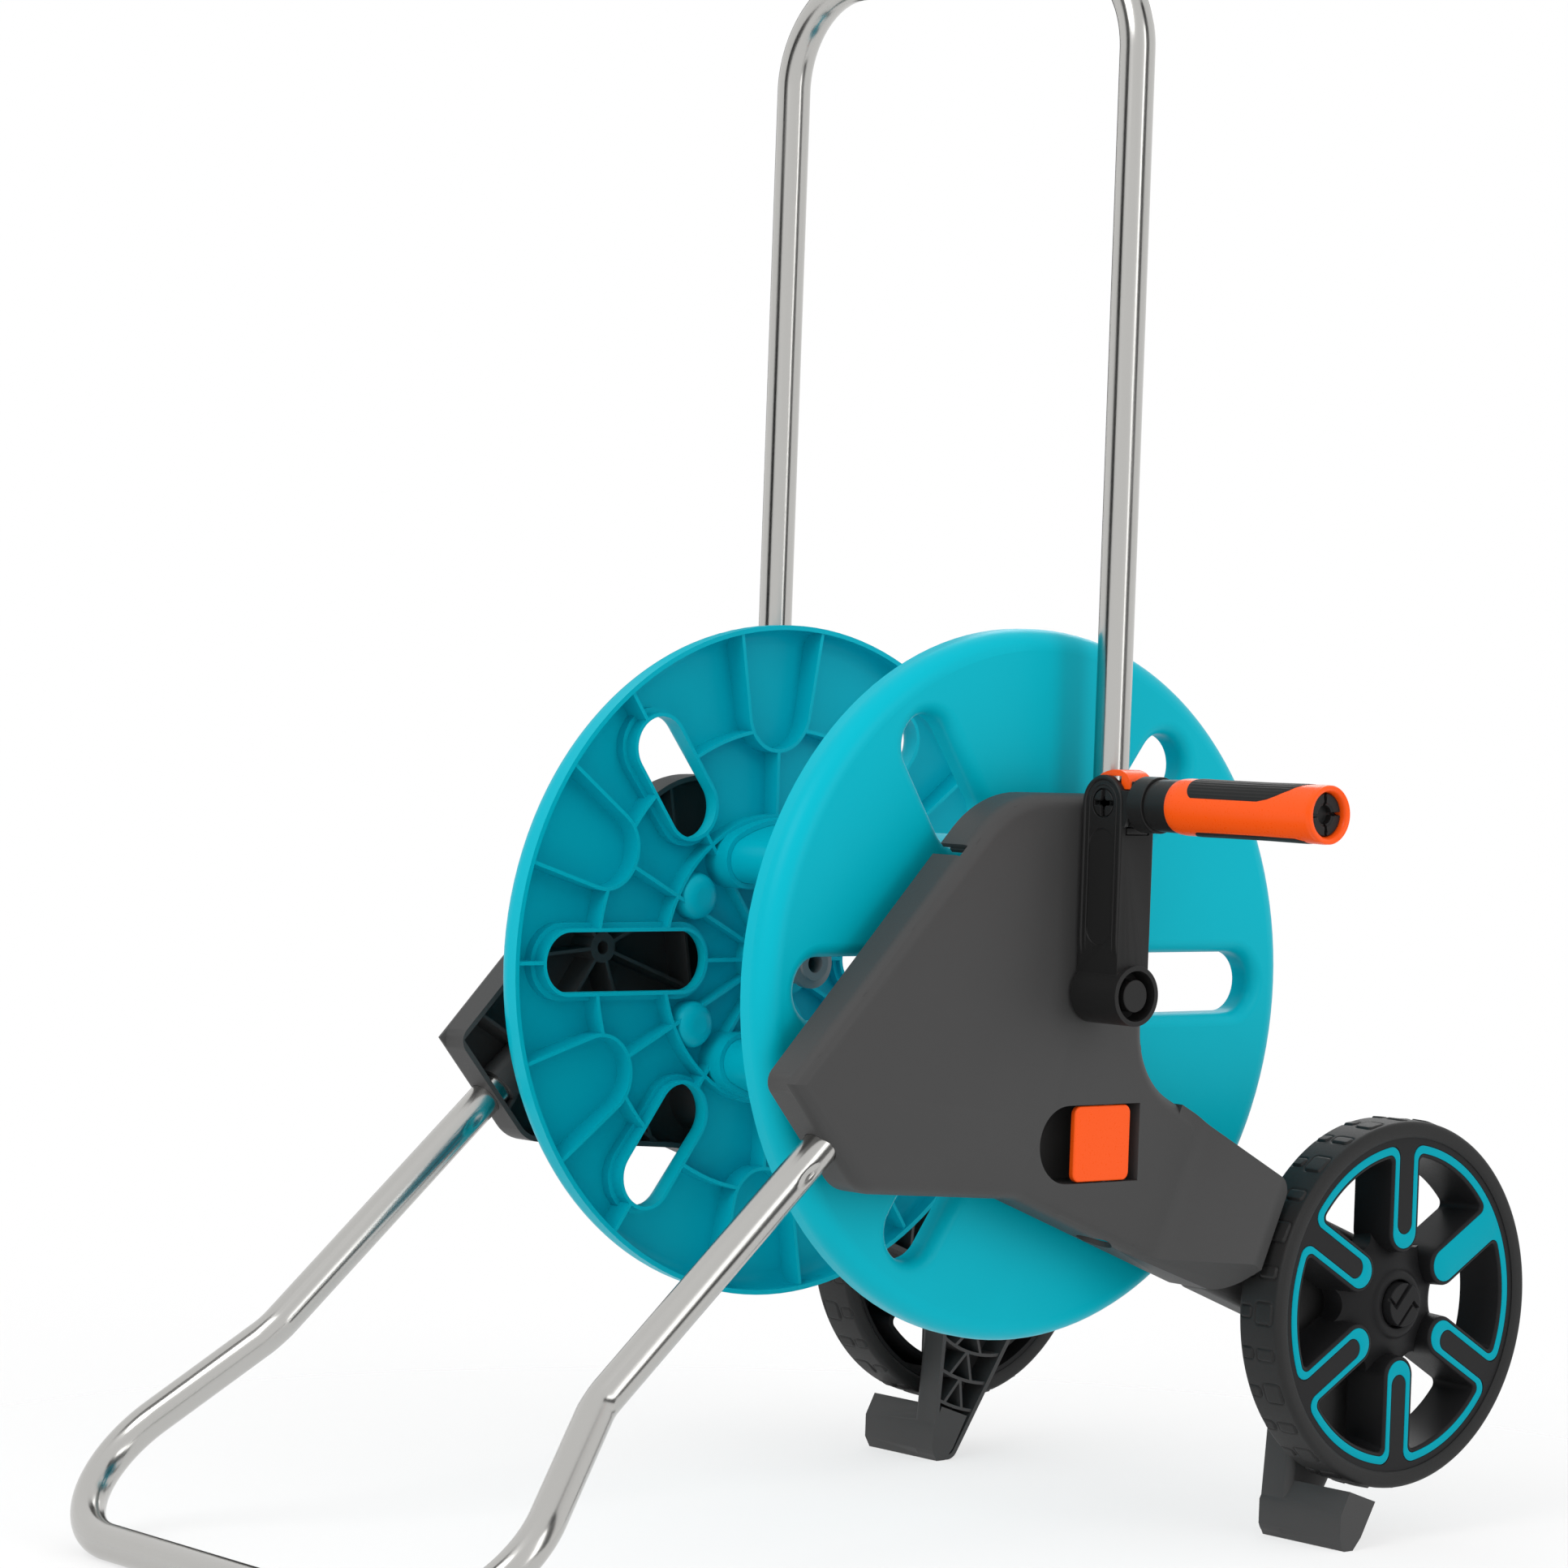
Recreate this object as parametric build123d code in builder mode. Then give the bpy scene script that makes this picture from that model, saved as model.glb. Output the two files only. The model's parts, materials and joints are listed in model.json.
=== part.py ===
"""Garden hose reel cart: a ribbed two-flange drum carried between two moulded side panels, on a bent tube
stand, two wheels and two toed feet, with a telescoping push handle and a folding winding crank.

Millimetres, +Z up, +X towards the crank, -Y towards the stand. The origin is the centre of the bounding box
at floor level. Shapes of the drum and panels are drawn on planes across the reel's axis, whose own axes are
Y and Z measured from that axis; "station" is the distance along X from the drum's middle plane.
"""

import os
from math import atan2, cos, degrees, hypot, radians, sin, sqrt, tan

from build123d import *

os.makedirs("parts", exist_ok=True)

# ---------------------------------------------------------------- clearances
running = 0.05  # radial, shaft in a bearing
sliding = 0.1  # radial, tube in a guide
fit = 0.2  # between fixed pieces that plug together
gap = 0.4  # between pieces that move past each other

# ---------------------------------------------------------------- general arrangement
axis_height = 321.0  # reel axis above the floor
front_reach = 452.6  # reel axis to the front of the stand
wheel_back = 226.0  # reel axis back to the wheel axle
wheel_drop = 182.5  # reel axis down to the wheel axle
tyre_r = 108.0  # over the tread blocks
toe_x = 205.0  # middle plane to the outer end of each foot
grip_length = 108.0
handle_top = 594.0  # reel axis up to the top of the push handle

# ---------------------------------------------------------------- drum
flange_r = 200.0
rim_inner_x = 99.5  # station of the rim's inner edge
shoulder = 12.0  # radius from the rim round to the face
face_x = 119.0  # station of the flange's outer face
plate = 2.8
rib = 2.2
slot_half = 17.5
slot_outer_r = 176.0
slot_flare = 8.0
slots = ((0.0, 54.0), (52.5, 96.0), (123.0, 96.0), (180.0, 54.0), (237.0, 96.0), (307.5, 96.0))
pocket_apex_r = 126.0
pocket_half = 22.0
pocket_mouth_half = 31.0
ring_rib_r = 138.0
inner_ring_r = 86.0
core_r = 82.0
core_floor = 46.0
core_wall = 3.0
core_corner = 14.0
socket_depth = 20.0
lobe_r = 14.0  # smooth studs between the side slot and the core
lobe_places = ((60.0, 38.0), (60.0, -38.0), (-60.0, 38.0), (-60.0, -38.0))
hub_r = 20.0
hub_length = 24.0
hub_hex = 13.0  # across-flats half width of the drive socket

# ---------------------------------------------------------------- axles and bearings
journal_r = 8.5
bush_wall = 3.0
bush_flange_r = 14.2
thrust_gap = 0.5
water_bore_r = 5.5

# ---------------------------------------------------------------- side panels
panel_x = 135.0  # station of the open inboard edge
panel_depth = 26.5
panel_wall = 3.0
panel_round = 9.0
panel_outline = (
    ((-212.0, -46.0), 0.0),
    ((-63.8, 109.0), 66.0),
    ((46.0, 109.0), 12.0),
    ((46.0, -49.3), 44.0),
    ((90.0, -71.4), 30.0),
    ((136.8, -110.4), 10.0),
    ((108.3, -173.9), 12.0),
    ((-46.0, -114.0), 30.0),
    ((-161.0, -106.0), 22.0),
)
panel_rib = 2.0
rib_recess = 4.0

# outward swell of the rear arm, which brings its face round in front of the tyre
swell_tilt = 24.2  # lean of its fold and its rear edge
swell_fold = 115.4  # reel axis to the fold, square to it
swell_slope = 32.0
swell_height = 29.6
swell_bend = 30.0
swell_bevel = (28.5, 108.5, -153.9)  # a point of the face that trims it below: over the skin, Y and Z

# ---------------------------------------------------------------- legs and feet
leg_x = 141.0
leg_round = 5.0
leg_outline = (
    ((98.0, -118.0), 8.0),
    ((160.0, -120.0), 12.0),
    ((244.0, -152.0), 22.0),
    ((262.0, -212.0), 24.0),
    ((192.0, -321.0), 9.0),
    ((173.5, -320.5), 8.0),
    ((180.0, -240.0), 30.0),
    ((168.0, -197.0), 12.0),
    ((100.0, -170.6), 8.0),
)
leg_arcs = (57.0, 74.9, 92.7, 110.6)  # radii of the ribs that ring the wheel's axle
axle_r = 6.0
axle_boss_r = 15.0

# ---------------------------------------------------------------- tubes
tube_r = 10.0
tube_wall = 1.5
stand_x = 147.6
stand_top = (-128.0, -33.7)  # upper end of the stand's legs, Y and Z from the reel axis
stand_knee = 262.8  # along the slope from the upper end of the leg to the knee
stand_splay = 23.4
knee_bend = 40.0
corner_bend = 60.0
handle_x = 147.0
handle_y = 25.0
handle_bend = 60.0
handle_foot = -108.0  # lower end of the handle's legs below the reel axis
handle_travel = 190.0
guide_wall = 2.0

# ---------------------------------------------------------------- latches
latch_pocket = (-33.6, 43.0, -106.5, -63.0)
latch_box = (-6.8, -104.5, -65.0)  # front, bottom and top
latch_jaw = 1.2  # the jaw's back behind the tube
latch_depth = 3.8
latch_travel = 6.0

# ---------------------------------------------------------------- wheels
wheel_x = 170.0  # station of the tyre's inner side
tread_width = 31.0
tread_r = 105.5
rim_r = 97.0
rim_wall = 9.0
spoke_half = 12.0
hub_boss_r = 24.0
inlay_width = 2.4
inlay_depth = 1.2
tread_blocks = 18

# ---------------------------------------------------------------- crank
arm_gap = 2.0  # panel skin to the arm
arm_width = 31.0
arm_half = 12.0
arm_radius = 105.0
boss_r = 16.7
boss_length = 35.0
boss_recess_r = 13.9
boss_recess = 12.0
drive_square = 11.6
cheek = 3.0
knuckle_r = 15.5  # rounded top of the arm about the hinge
bulge_r = 21.0  # the arm's swelling towards the grip, about the hinge
tongue_r = 12.5
collar_r = 15.5
collar_length = 11.5
hinge_r = 4.0
spindle_r = 6.0
grip_core_r = 13.0
grip_ring = 16.0  # bare black length of the grip beside the collar
button_travel = 2.4

# ---------------------------------------------------------------- worked-out places
skin_x = panel_x + panel_depth
leg_width = skin_x - leg_x
latch_rear = handle_y + tube_r + latch_jaw + 0.1
arm_x = skin_x + arm_gap
pin_x = arm_x + arm_width / 2
collar_x = pin_x + bulge_r + gap
grip_x = collar_x + collar_length + gap
sleeve_x = grip_x + grip_ring
right_reach = sleeve_x + grip_length
stand_slope = degrees(atan2(axis_height - tube_r + stand_top[1], front_reach - tube_r + stand_top[0]))
mid_x = (toe_x - right_reach) / 2
axis_y = (front_reach - wheel_back - tyre_r) / 2

side = Plane(origin=(mid_x, axis_y, axis_height), x_dir=(0, 1, 0), z_dir=(1, 0, 0))
section = Plane(origin=(mid_x, axis_y, axis_height), x_dir=(0, 1, 0), z_dir=(0, 0, -1))
reel_axis = Axis((mid_x, axis_y, axis_height), (1, 0, 0))
upright = Axis((mid_x, axis_y, 0), (0, 0, 1))


def station(x):
    """The plane across the reel's axis at a distance x from the middle plane."""
    return side.offset(x)


def polar(radius, angle):
    """A point of a plane across the axis, from its radius and its angle above +Y."""
    return (radius * cos(radians(angle)), radius * sin(radians(angle)))


def bar(start, end, width):
    """A straight rib of a given width between two points, drawn in the open sketch."""
    middle = ((start[0] + end[0]) / 2, (start[1] + end[1]) / 2, 0)
    angle = degrees(atan2(end[1] - start[1], end[0] - start[0]))
    with Locations(Location(middle, (0, 0, angle))):
        Rectangle(hypot(end[0] - start[0], end[1] - start[1]), width)


def slot_shape(angle, inner_r, half):
    """A radial stadium between inner_r and the slots' outer radius, widened to a half width."""
    grow = half - slot_half
    middle = polar((inner_r + slot_outer_r) / 2, angle)
    with Locations(Location((middle[0], middle[1], 0), (0, 0, angle))):
        SlotOverall(slot_outer_r - inner_r + 2 * grow, 2 * half)


def core_section(grow):
    """Section of the upper drum core: a segment of a circle with rounded corners, grown by an amount."""
    with BuildSketch() as segment:
        Circle(core_r)
        with Locations((0, core_floor + core_r)):
            Rectangle(4 * core_r, 2 * core_r, mode=Mode.INTERSECT)
        fillet(segment.vertices(), core_corner)
        if grow:
            offset(amount=grow)
    return segment.sketch


def pocket_section(angle, grow):
    """A scoop open at the rim: a round apex widening to its mouth, at an angle round the flange."""
    with BuildSketch() as scoop:
        with Locations((pocket_apex_r + pocket_half, 0)):
            Circle(pocket_half + grow)
        with Locations((flange_r, 0)):
            Rectangle(1, 2 * (pocket_mouth_half + grow))
        make_hull()
    return scoop.sketch.rotate(Axis.Z, angle)


def funnel(angle, inner_r, half, top_x):
    """The space inside a slot's flared mouth: a stadium whose edge rounds outwards up to top_x."""
    with BuildPart() as lip:
        with BuildSketch(station(top_x - slot_flare)):
            slot_shape(angle, inner_r, half + slot_flare + 2)
            slot_shape_cut(angle, inner_r, half)
        extrude(amount=slot_flare)
        top = lip.faces().sort_by(Axis.X)[-1]
        fillet(top.inner_wires()[0].edges(), slot_flare - 0.2)
    with BuildPart() as mouth:
        with BuildSketch(station(top_x - slot_flare)):
            slot_shape(angle, inner_r, half + slot_flare)
        extrude(amount=slot_flare)
        add(lip.part, mode=Mode.SUBTRACT)
    return mouth.part


def slot_shape_cut(angle, inner_r, half):
    """The same stadium, taken away from the open sketch."""
    with BuildSketch(mode=Mode.PRIVATE) as stadium:
        slot_shape(angle, inner_r, half)
    add(stadium.sketch, mode=Mode.SUBTRACT)


# ================================================================ drum
pocket_angles = [
    (slots[i][0] + (slots[i + 1][0] if i + 1 < len(slots) else 360.0)) / 2 for i in range(len(slots))
]


def make_ribs():
    """Everything that stands up inside the flange, its front edges on one shallow cone."""
    with BuildPart() as ribs:
        with BuildSketch(station(rim_inner_x)):
            for radius in (ring_rib_r, inner_ring_r):
                with BuildSketch(mode=Mode.PRIVATE) as ring:
                    Circle(radius + rib / 2)
                    Circle(radius - rib / 2, mode=Mode.SUBTRACT)
                add(ring.sketch)
            for angle in pocket_angles:
                add(pocket_section(angle, rib))
                bar(polar(hub_r, angle), polar(pocket_apex_r, angle), rib)
            for angle in pocket_angles:
                add(pocket_section(angle, 0), mode=Mode.SUBTRACT)
            for angle, inner_r in slots:
                slot_shape(angle, inner_r, slot_half + rib)
                bar(polar(slot_outer_r, angle), polar(flange_r, angle), rib)
                bar(polar(hub_r - 2, angle), polar(inner_r, angle), rib)
            for turn in (0, 180):
                add(core_section(fit + core_wall).rotate(Axis.Z, turn))
            Circle(hub_r + 3)
        extrude(amount=face_x - plate - rim_inner_x + 0.6)
        with BuildSketch(section):
            with BuildLine():
                CenterArc((flange_r - shoulder, face_x - shoulder), shoulder - 1.4, 0, 90)
                Polyline(
                    (flange_r - shoulder, face_x - 1.4),
                    (0, face_x - 1.4),
                    (0, rim_inner_x + 10.0),
                    (flange_r - 20, rim_inner_x + 2.0),
                    (flange_r - 1.4, rim_inner_x + 1.0),
                    (flange_r - 1.4, face_x - shoulder),
                )
            make_face()
        revolve(axis=reel_axis, mode=Mode.INTERSECT)
    return ribs.part


def make_flange():
    """One drum flange: a shallow pan with flared slots, ribs, scoops, core sockets and a driven hub."""
    ribs = make_ribs()
    with BuildPart() as stud:
        with BuildSketch(station(rim_inner_x + 3)):
            Circle(lobe_r)
        extrude(amount=face_x - plate - rim_inner_x - 2)
        fillet(stud.faces().sort_by(Axis.X)[0].edges(), lobe_r - 5)
    with BuildPart() as flange:
        with BuildSketch(section):
            with BuildLine():
                centre = (flange_r - shoulder, face_x - shoulder)
                CenterArc(centre, shoulder, 0, 90)
                Polyline(
                    (flange_r - shoulder, face_x), (0, face_x), (0, face_x - plate),
                    (flange_r - shoulder, face_x - plate),
                )
                CenterArc(centre, shoulder - plate, 0, 90)
                Polyline(
                    (flange_r - plate, face_x - shoulder), (flange_r - plate, rim_inner_x),
                    (flange_r, rim_inner_x), (flange_r, face_x - shoulder),
                )
            make_face()
        revolve(axis=reel_axis)
        add(ribs)
        for turn in (0, 180):
            with BuildSketch(station(face_x - plate - socket_depth)):
                add(core_section(fit + core_wall).rotate(Axis.Z, turn))
                add(core_section(fit).rotate(Axis.Z, turn), mode=Mode.SUBTRACT)
            extrude(amount=socket_depth + 0.5)
        with BuildSketch(station(face_x - hub_length)):
            Circle(hub_r)
        extrude(amount=hub_length)
        for y, z in lobe_places:
            add(stud.part.moved(Location((0, y, z))))
        # thicker shoulder behind each flared mouth
        with BuildSketch(station(face_x - plate - slot_flare + 2)):
            for angle, inner_r in slots:
                slot_shape(angle, inner_r, slot_half + rib + 3)
        extrude(amount=slot_flare - 1.5)
        for turn in (0, 180):
            with BuildSketch(station(rim_inner_x - 10)):
                add(core_section(fit).rotate(Axis.Z, turn))
            extrude(amount=face_x - plate - rim_inner_x + 10, mode=Mode.SUBTRACT)
        for angle, inner_r in slots:
            add(funnel(angle, inner_r, slot_half, face_x), mode=Mode.SUBTRACT)
            with BuildSketch(station(rim_inner_x - 2)):
                slot_shape(angle, inner_r, slot_half)
            extrude(amount=face_x, mode=Mode.SUBTRACT)
        with BuildSketch(station(face_x - hub_length)):
            RegularPolygon(hub_hex + fit, 6, major_radius=False)
        extrude(amount=2 * hub_length, mode=Mode.SUBTRACT)
    return flange.part


flange = make_flange()
with BuildPart() as drum_flange_right:
    add(flange)
drum_flange_right.part.label = "drum_flange_right"
export_step(drum_flange_right.part, "parts/drum_flange_right.step")

with BuildPart() as drum_flange_left:
    add(flange.rotate(upright, 180))
drum_flange_left.part.label = "drum_flange_left"
export_step(drum_flange_left.part, "parts/drum_flange_left.step")

for name, turn in (("drum_core_upper", 0), ("drum_core_lower", 180)):
    with BuildPart() as drum_core:
        with BuildSketch(station(plate - face_x + fit)):
            add(core_section(0).rotate(Axis.Z, turn))
            add(core_section(-core_wall).rotate(Axis.Z, turn), mode=Mode.SUBTRACT)
        extrude(amount=2 * (face_x - plate - fit))
    drum_core.part.label = name
    export_step(drum_core.part, f"parts/{name}.step")

# ================================================================ axles and bearings
bush_end = skin_x
bush_start = face_x + thrust_gap + 3.0
boss_face = bush_start + 2.0

with BuildPart() as drum_axle_right:
    with BuildSketch(station(face_x - hub_length)):
        RegularPolygon(hub_hex, 6, major_radius=False)
    extrude(amount=hub_length + 1.0)
    with BuildSketch(station(face_x)):
        Circle(hub_r - 1)
    extrude(amount=3.0)
    with BuildSketch(station(face_x + 3.0)):
        Circle(journal_r)
    extrude(amount=arm_x - face_x - 3.0)
    with BuildSketch(station(arm_x)):
        Rectangle(drive_square, drive_square)
    extrude(amount=16)
    with BuildSketch(station(arm_x + 2)):
        Circle(2.5)
    extrude(amount=14, mode=Mode.SUBTRACT)
drum_axle_right.part.label = "drum_axle_right"
export_step(drum_axle_right.part, "parts/drum_axle_right.step")

spindle_end = skin_x + 10.0
with BuildPart() as drum_spindle_left:
    with BuildSketch(station(-spindle_end)):
        Circle(journal_r)
    extrude(amount=spindle_end - face_x - 3.0)
    with BuildSketch(station(-face_x - 3.0)):
        Circle(hub_r - 1)
    extrude(amount=3.0)
    with BuildSketch(station(-face_x - 1.0)):
        RegularPolygon(hub_hex, 6, major_radius=False)
    extrude(amount=hub_length + 1.0)
    with BuildSketch(station(-face_x + hub_length)):
        Circle(9)
    extrude(amount=8)
    with BuildSketch(station(-spindle_end)):
        Circle(water_bore_r)
    extrude(amount=spindle_end, mode=Mode.SUBTRACT)
    for place in (4.0, 8.0):
        with BuildSketch(station(-spindle_end + place - 1.2)):
            Circle(journal_r + 1)
            Circle(journal_r - 1.8, mode=Mode.SUBTRACT)
        extrude(amount=2.4, mode=Mode.SUBTRACT)
drum_spindle_left.part.label = "drum_spindle_left"
export_step(drum_spindle_left.part, "parts/drum_spindle_left.step")

seal_r = 0.9
with BuildPart() as spindle_seals:
    for place in (4.0, 8.0):
        with BuildSketch(section):
            with Locations((journal_r - 1.8 + seal_r, -spindle_end + place)):
                Circle(seal_r)
        revolve(axis=reel_axis)
spindle_seals.part.label = "spindle_seals"
export_step(spindle_seals.part, "parts/spindle_seals.step")

nipple_x = -70.0
with BuildPart() as hose_nipple:
    with BuildSketch(section):
        with BuildLine():
            start = -face_x + hub_length + fit
            Polyline(
                (9 + fit, start), (13, start), (13, start + 8), (11, start + 10), (11, nipple_x - 9),
                (15, nipple_x - 7), (15, nipple_x - 2.5), (10.5, nipple_x - 1.5), (10, nipple_x),
                (water_bore_r, nipple_x), (water_bore_r, start + 8.2), (9 + fit, start + 8.2), (9 + fit, start),
            )
        make_face()
    revolve(axis=reel_axis)
hose_nipple.part.label = "hose_nipple"
export_step(hose_nipple.part, "parts/hose_nipple.step")

with BuildPart() as bearing_bush:
    with BuildSketch(section):
        with BuildLine():
            Polyline(
                (journal_r + running, bush_start), (bush_flange_r, bush_start), (bush_flange_r, boss_face),
                (journal_r + bush_wall, boss_face), (journal_r + bush_wall, bush_end),
                (journal_r + running, bush_end), (journal_r + running, bush_start),
            )
        make_face()
    revolve(axis=reel_axis)
for name, twist in (("bearing_bush_right", 0), ("bearing_bush_left", 180)):
    with BuildPart() as bush:
        add(bearing_bush.part.rotate(upright, twist))
    bush.part.label = name
    export_step(bush.part, f"parts/{name}.step")


# ================================================================ side panels
def panel_sketch(inset):
    """The side panel's outline, drawn in by an inset."""
    with BuildSketch() as outline:
        with BuildLine():
            FilletPolyline(
                *[place for place, _ in panel_outline], radius=[r for _, r in panel_outline], close=True
            )
        make_face()
        if inset:
            offset(amount=-inset)
    return outline.sketch


def leg_sketch(inset):
    """The leg's outline, drawn in by an inset."""
    with BuildSketch() as outline:
        with BuildLine():
            FilletPolyline(
                *[place for place, _ in leg_outline], radius=[r for _, r in leg_outline], close=True
            )
        make_face()
        if inset:
            offset(amount=-inset)
    return outline.sketch


stand_direction = Vector(0, -cos(radians(stand_slope)), -sin(radians(stand_slope)))


def reel_point(x, y, z):
    """A point given from the reel's axis and middle plane, in the cart's own frame."""
    return Vector(mid_x + x, axis_y + y, axis_height + z)


def swell_form(inset):
    """The swell of the rear arm, drawn in by an inset: a face that folds outwards, flat along its end."""
    lean = radians(swell_tilt)
    across = Plane(origin=reel_point(0, 0, 0), x_dir=(0, cos(lean), -sin(lean)), z_dir=(0, -sin(lean), -cos(lean)))
    base = skin_x - 0.6
    crest = swell_fold + swell_height / tan(radians(swell_slope))
    with BuildPart() as swell:
        with BuildSketch(across):
            with BuildLine():
                FilletPolyline(
                    (swell_fold - 18, skin_x - panel_round - inset), (swell_fold - 18, base), (swell_fold, base),
                    (crest, base + swell_height), (crest + 60, base + swell_height),
                    (crest + 60, skin_x - panel_round - inset),
                    radius=(0, 0, swell_bend, 8, 0, 0), close=True,
                )
            make_face()
            if inset:
                offset(amount=-inset)
        extrude(amount=240)
        with BuildSketch(station(panel_x)):
            add(panel_sketch(inset))
        extrude(amount=100, mode=Mode.INTERSECT)
        rise, y, z = swell_bevel
        trim = Plane(origin=reel_point(skin_x + rise, y, z), z_dir=(1, -0.634, -1.17))
        with BuildSketch(trim.offset(-inset)):
            Rectangle(400, 400)
        extrude(amount=120, mode=Mode.SUBTRACT)
    return swell.part


def latch_outline(grow):
    """The latch pocket's outline, its front end fully round, grown by an amount."""
    front, rear, low, high = latch_pocket
    half = (high - low) / 2
    with BuildSketch() as outline:
        with Locations(((front + half + rear) / 2, (low + high) / 2)):
            Rectangle(rear - front - half, high - low)
        with Locations((front + half, (low + high) / 2)):
            Circle(half)
        if grow:
            offset(amount=grow)
    return outline.sketch


def make_side_panel():
    """The right side panel with its leg and foot: an open tray, ribbed inside."""
    with BuildPart() as body:
        with BuildSketch(station(panel_x)):
            add(panel_sketch(0))
        extrude(amount=panel_depth)
        fillet(body.faces().sort_by(Axis.X)[-1].edges(), panel_round)
    with BuildPart() as cavity:
        with BuildSketch(station(panel_x)):
            add(panel_sketch(panel_wall))
        extrude(amount=panel_depth - panel_wall)
        fillet(cavity.faces().sort_by(Axis.X)[-1].edges(), panel_round - panel_wall)
    with BuildPart() as network:
        with BuildSketch(station(panel_x + rib_recess)):
            boss = (-106.0, 6.0)
            for angle in (25, 75, 130, 185, 235, 290, 340):
                reach = polar(150, angle)
                bar(boss, (boss[0] + reach[0], boss[1] + reach[1]), panel_rib)
            bar((-196, -30), (-60, -110), panel_rib)
            bar((-20, -130), (46, -30), panel_rib)
            bar((46, -50), (110, -170), panel_rib)
            bar((60, -150), (130, -110), panel_rib)
            bar((-60, 109), (-20, -120), panel_rib)
            with Locations(boss):
                Circle(9)
                Circle(4, mode=Mode.SUBTRACT)
            add(panel_sketch(panel_wall - 0.5), mode=Mode.INTERSECT)
        extrude(amount=panel_depth - panel_wall - rib_recess + 0.5)
    with BuildPart() as leg:
        with BuildSketch(station(leg_x)):
            add(leg_sketch(0))
        extrude(amount=leg_width)
        fillet(leg.faces().sort_by(Axis.X)[-1].edges(), leg_round)
        with BuildSketch(station(leg_x)):
            add(leg_sketch(panel_wall))
        extrude(amount=leg_width - panel_wall, mode=Mode.SUBTRACT)
        with BuildSketch(station(leg_x + 1)):
            axle = (wheel_back, -wheel_drop)
            for radius in leg_arcs:
                with BuildSketch(mode=Mode.PRIVATE) as arc:
                    with Locations(axle):
                        Circle(radius + panel_rib / 2)
                        Circle(radius - panel_rib / 2, mode=Mode.SUBTRACT)
                add(arc.sketch)
            for angle in (-108, 150, 80, -50):
                reach = polar(leg_arcs[0], angle)
                bar(axle, (axle[0] + reach[0], axle[1] + reach[1]), panel_rib)
            # pairs of ribs that open like a V from each arc to the next, down the leg
            for inner, outer, spread in zip(leg_arcs, leg_arcs[1:], (9.0, 6.0, 4.2)):
                for hand in (-1, 1):
                    start, end = polar(inner, -108.4), polar(outer, -108.4 + hand * spread)
                    bar((axle[0] + start[0], axle[1] + start[1]), (axle[0] + end[0], axle[1] + end[1]), panel_rib)
            with Locations(axle):
                Circle(axle_boss_r)
            add(leg_sketch(panel_wall - 0.5), mode=Mode.INTERSECT)
        extrude(amount=leg_width - panel_wall - 1)
        with BuildSketch(station(leg_x)):
            with BuildLine():
                Polyline(
                    (174.0, -300.0), (181.0, -286.8), (202.8, -294.3), (191.5, -314.0), (185.0, -axis_height),
                    (178.0, -axis_height), (174.0, -314.0), close=True,
                )
            make_face()
        extrude(amount=toe_x - leg_x)
    with BuildPart() as panel:
        add(body.part)
        add(swell_form(0))
        add(cavity.part, mode=Mode.SUBTRACT)
        add(swell_form(panel_wall), mode=Mode.SUBTRACT)
        add(network.part)
        with BuildSketch(station(panel_x + 1)):
            add(panel_sketch(panel_wall + 0.5))
            add(leg_sketch(0), mode=Mode.INTERSECT)
        extrude(amount=panel_depth - 2, mode=Mode.SUBTRACT)
        add(leg.part)
        # bearing boss for the drum
        with BuildSketch(station(boss_face)):
            Circle(bush_flange_r)
        extrude(amount=skin_x - boss_face - 1)
        with BuildSketch(station(boss_face - 1)):
            Circle(journal_r + bush_wall + running)
        extrude(amount=skin_x - boss_face + 2, mode=Mode.SUBTRACT)
        # box round the latch
        with BuildSketch(station(panel_x)):
            add(latch_outline(1.8))
        extrude(amount=panel_depth - 1)
        # sockets of the stand's leg and guides of the handle's leg
        socket = Plane(origin=reel_point(stand_x, *stand_top), z_dir=stand_direction)
        with BuildSketch(socket):
            Circle(tube_r + guide_wall + 0.6)
        extrude(amount=62)
        with BuildSketch(socket.offset(4)):
            Circle(tube_r + fit / 2)
        extrude(amount=200, mode=Mode.SUBTRACT)
        for low, high in ((-112.6, -100.0), (70.0, 107.0)):
            with BuildSketch(Plane.XY.offset(axis_height + low)):
                with Locations((mid_x + handle_x, axis_y + handle_y)):
                    Circle(tube_r + guide_wall)
            extrude(amount=high - low)
        with BuildSketch(Plane.XY.offset(axis_height - 200)):
            with Locations((mid_x + handle_x, axis_y + handle_y)):
                Circle(tube_r + sliding)
        extrude(amount=400, mode=Mode.SUBTRACT)
        # latch pocket, from the skin down to a floor at the panel's open side
        with BuildSketch(station(panel_x + 1.8)):
            add(latch_outline(0))
        extrude(amount=panel_depth, mode=Mode.SUBTRACT)
        # hose-end slot through the sloping front wall
        with BuildSketch(Plane(origin=reel_point(panel_x + 5, -93.5, 77.2), z_dir=(0, -0.7157, 0.6984))):
            Rectangle(8, 32)
        extrude(amount=12, both=True, mode=Mode.SUBTRACT)
        # bore of the wheel's stub axle
        with BuildSketch(station(leg_x)):
            with Locations((wheel_back, -wheel_drop)):
                Circle(axle_r + running)
        extrude(amount=leg_width + 2, mode=Mode.SUBTRACT)
    return panel.part


side_panel = make_side_panel()
with BuildPart() as side_panel_right:
    add(side_panel)
side_panel_right.part.label = "side_panel_right"
export_step(side_panel_right.part, "parts/side_panel_right.step")

with BuildPart() as side_panel_left:
    mirror(side_panel, about=side)
side_panel_left.part.label = "side_panel_left"
export_step(side_panel_left.part, "parts/side_panel_left.step")

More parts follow.
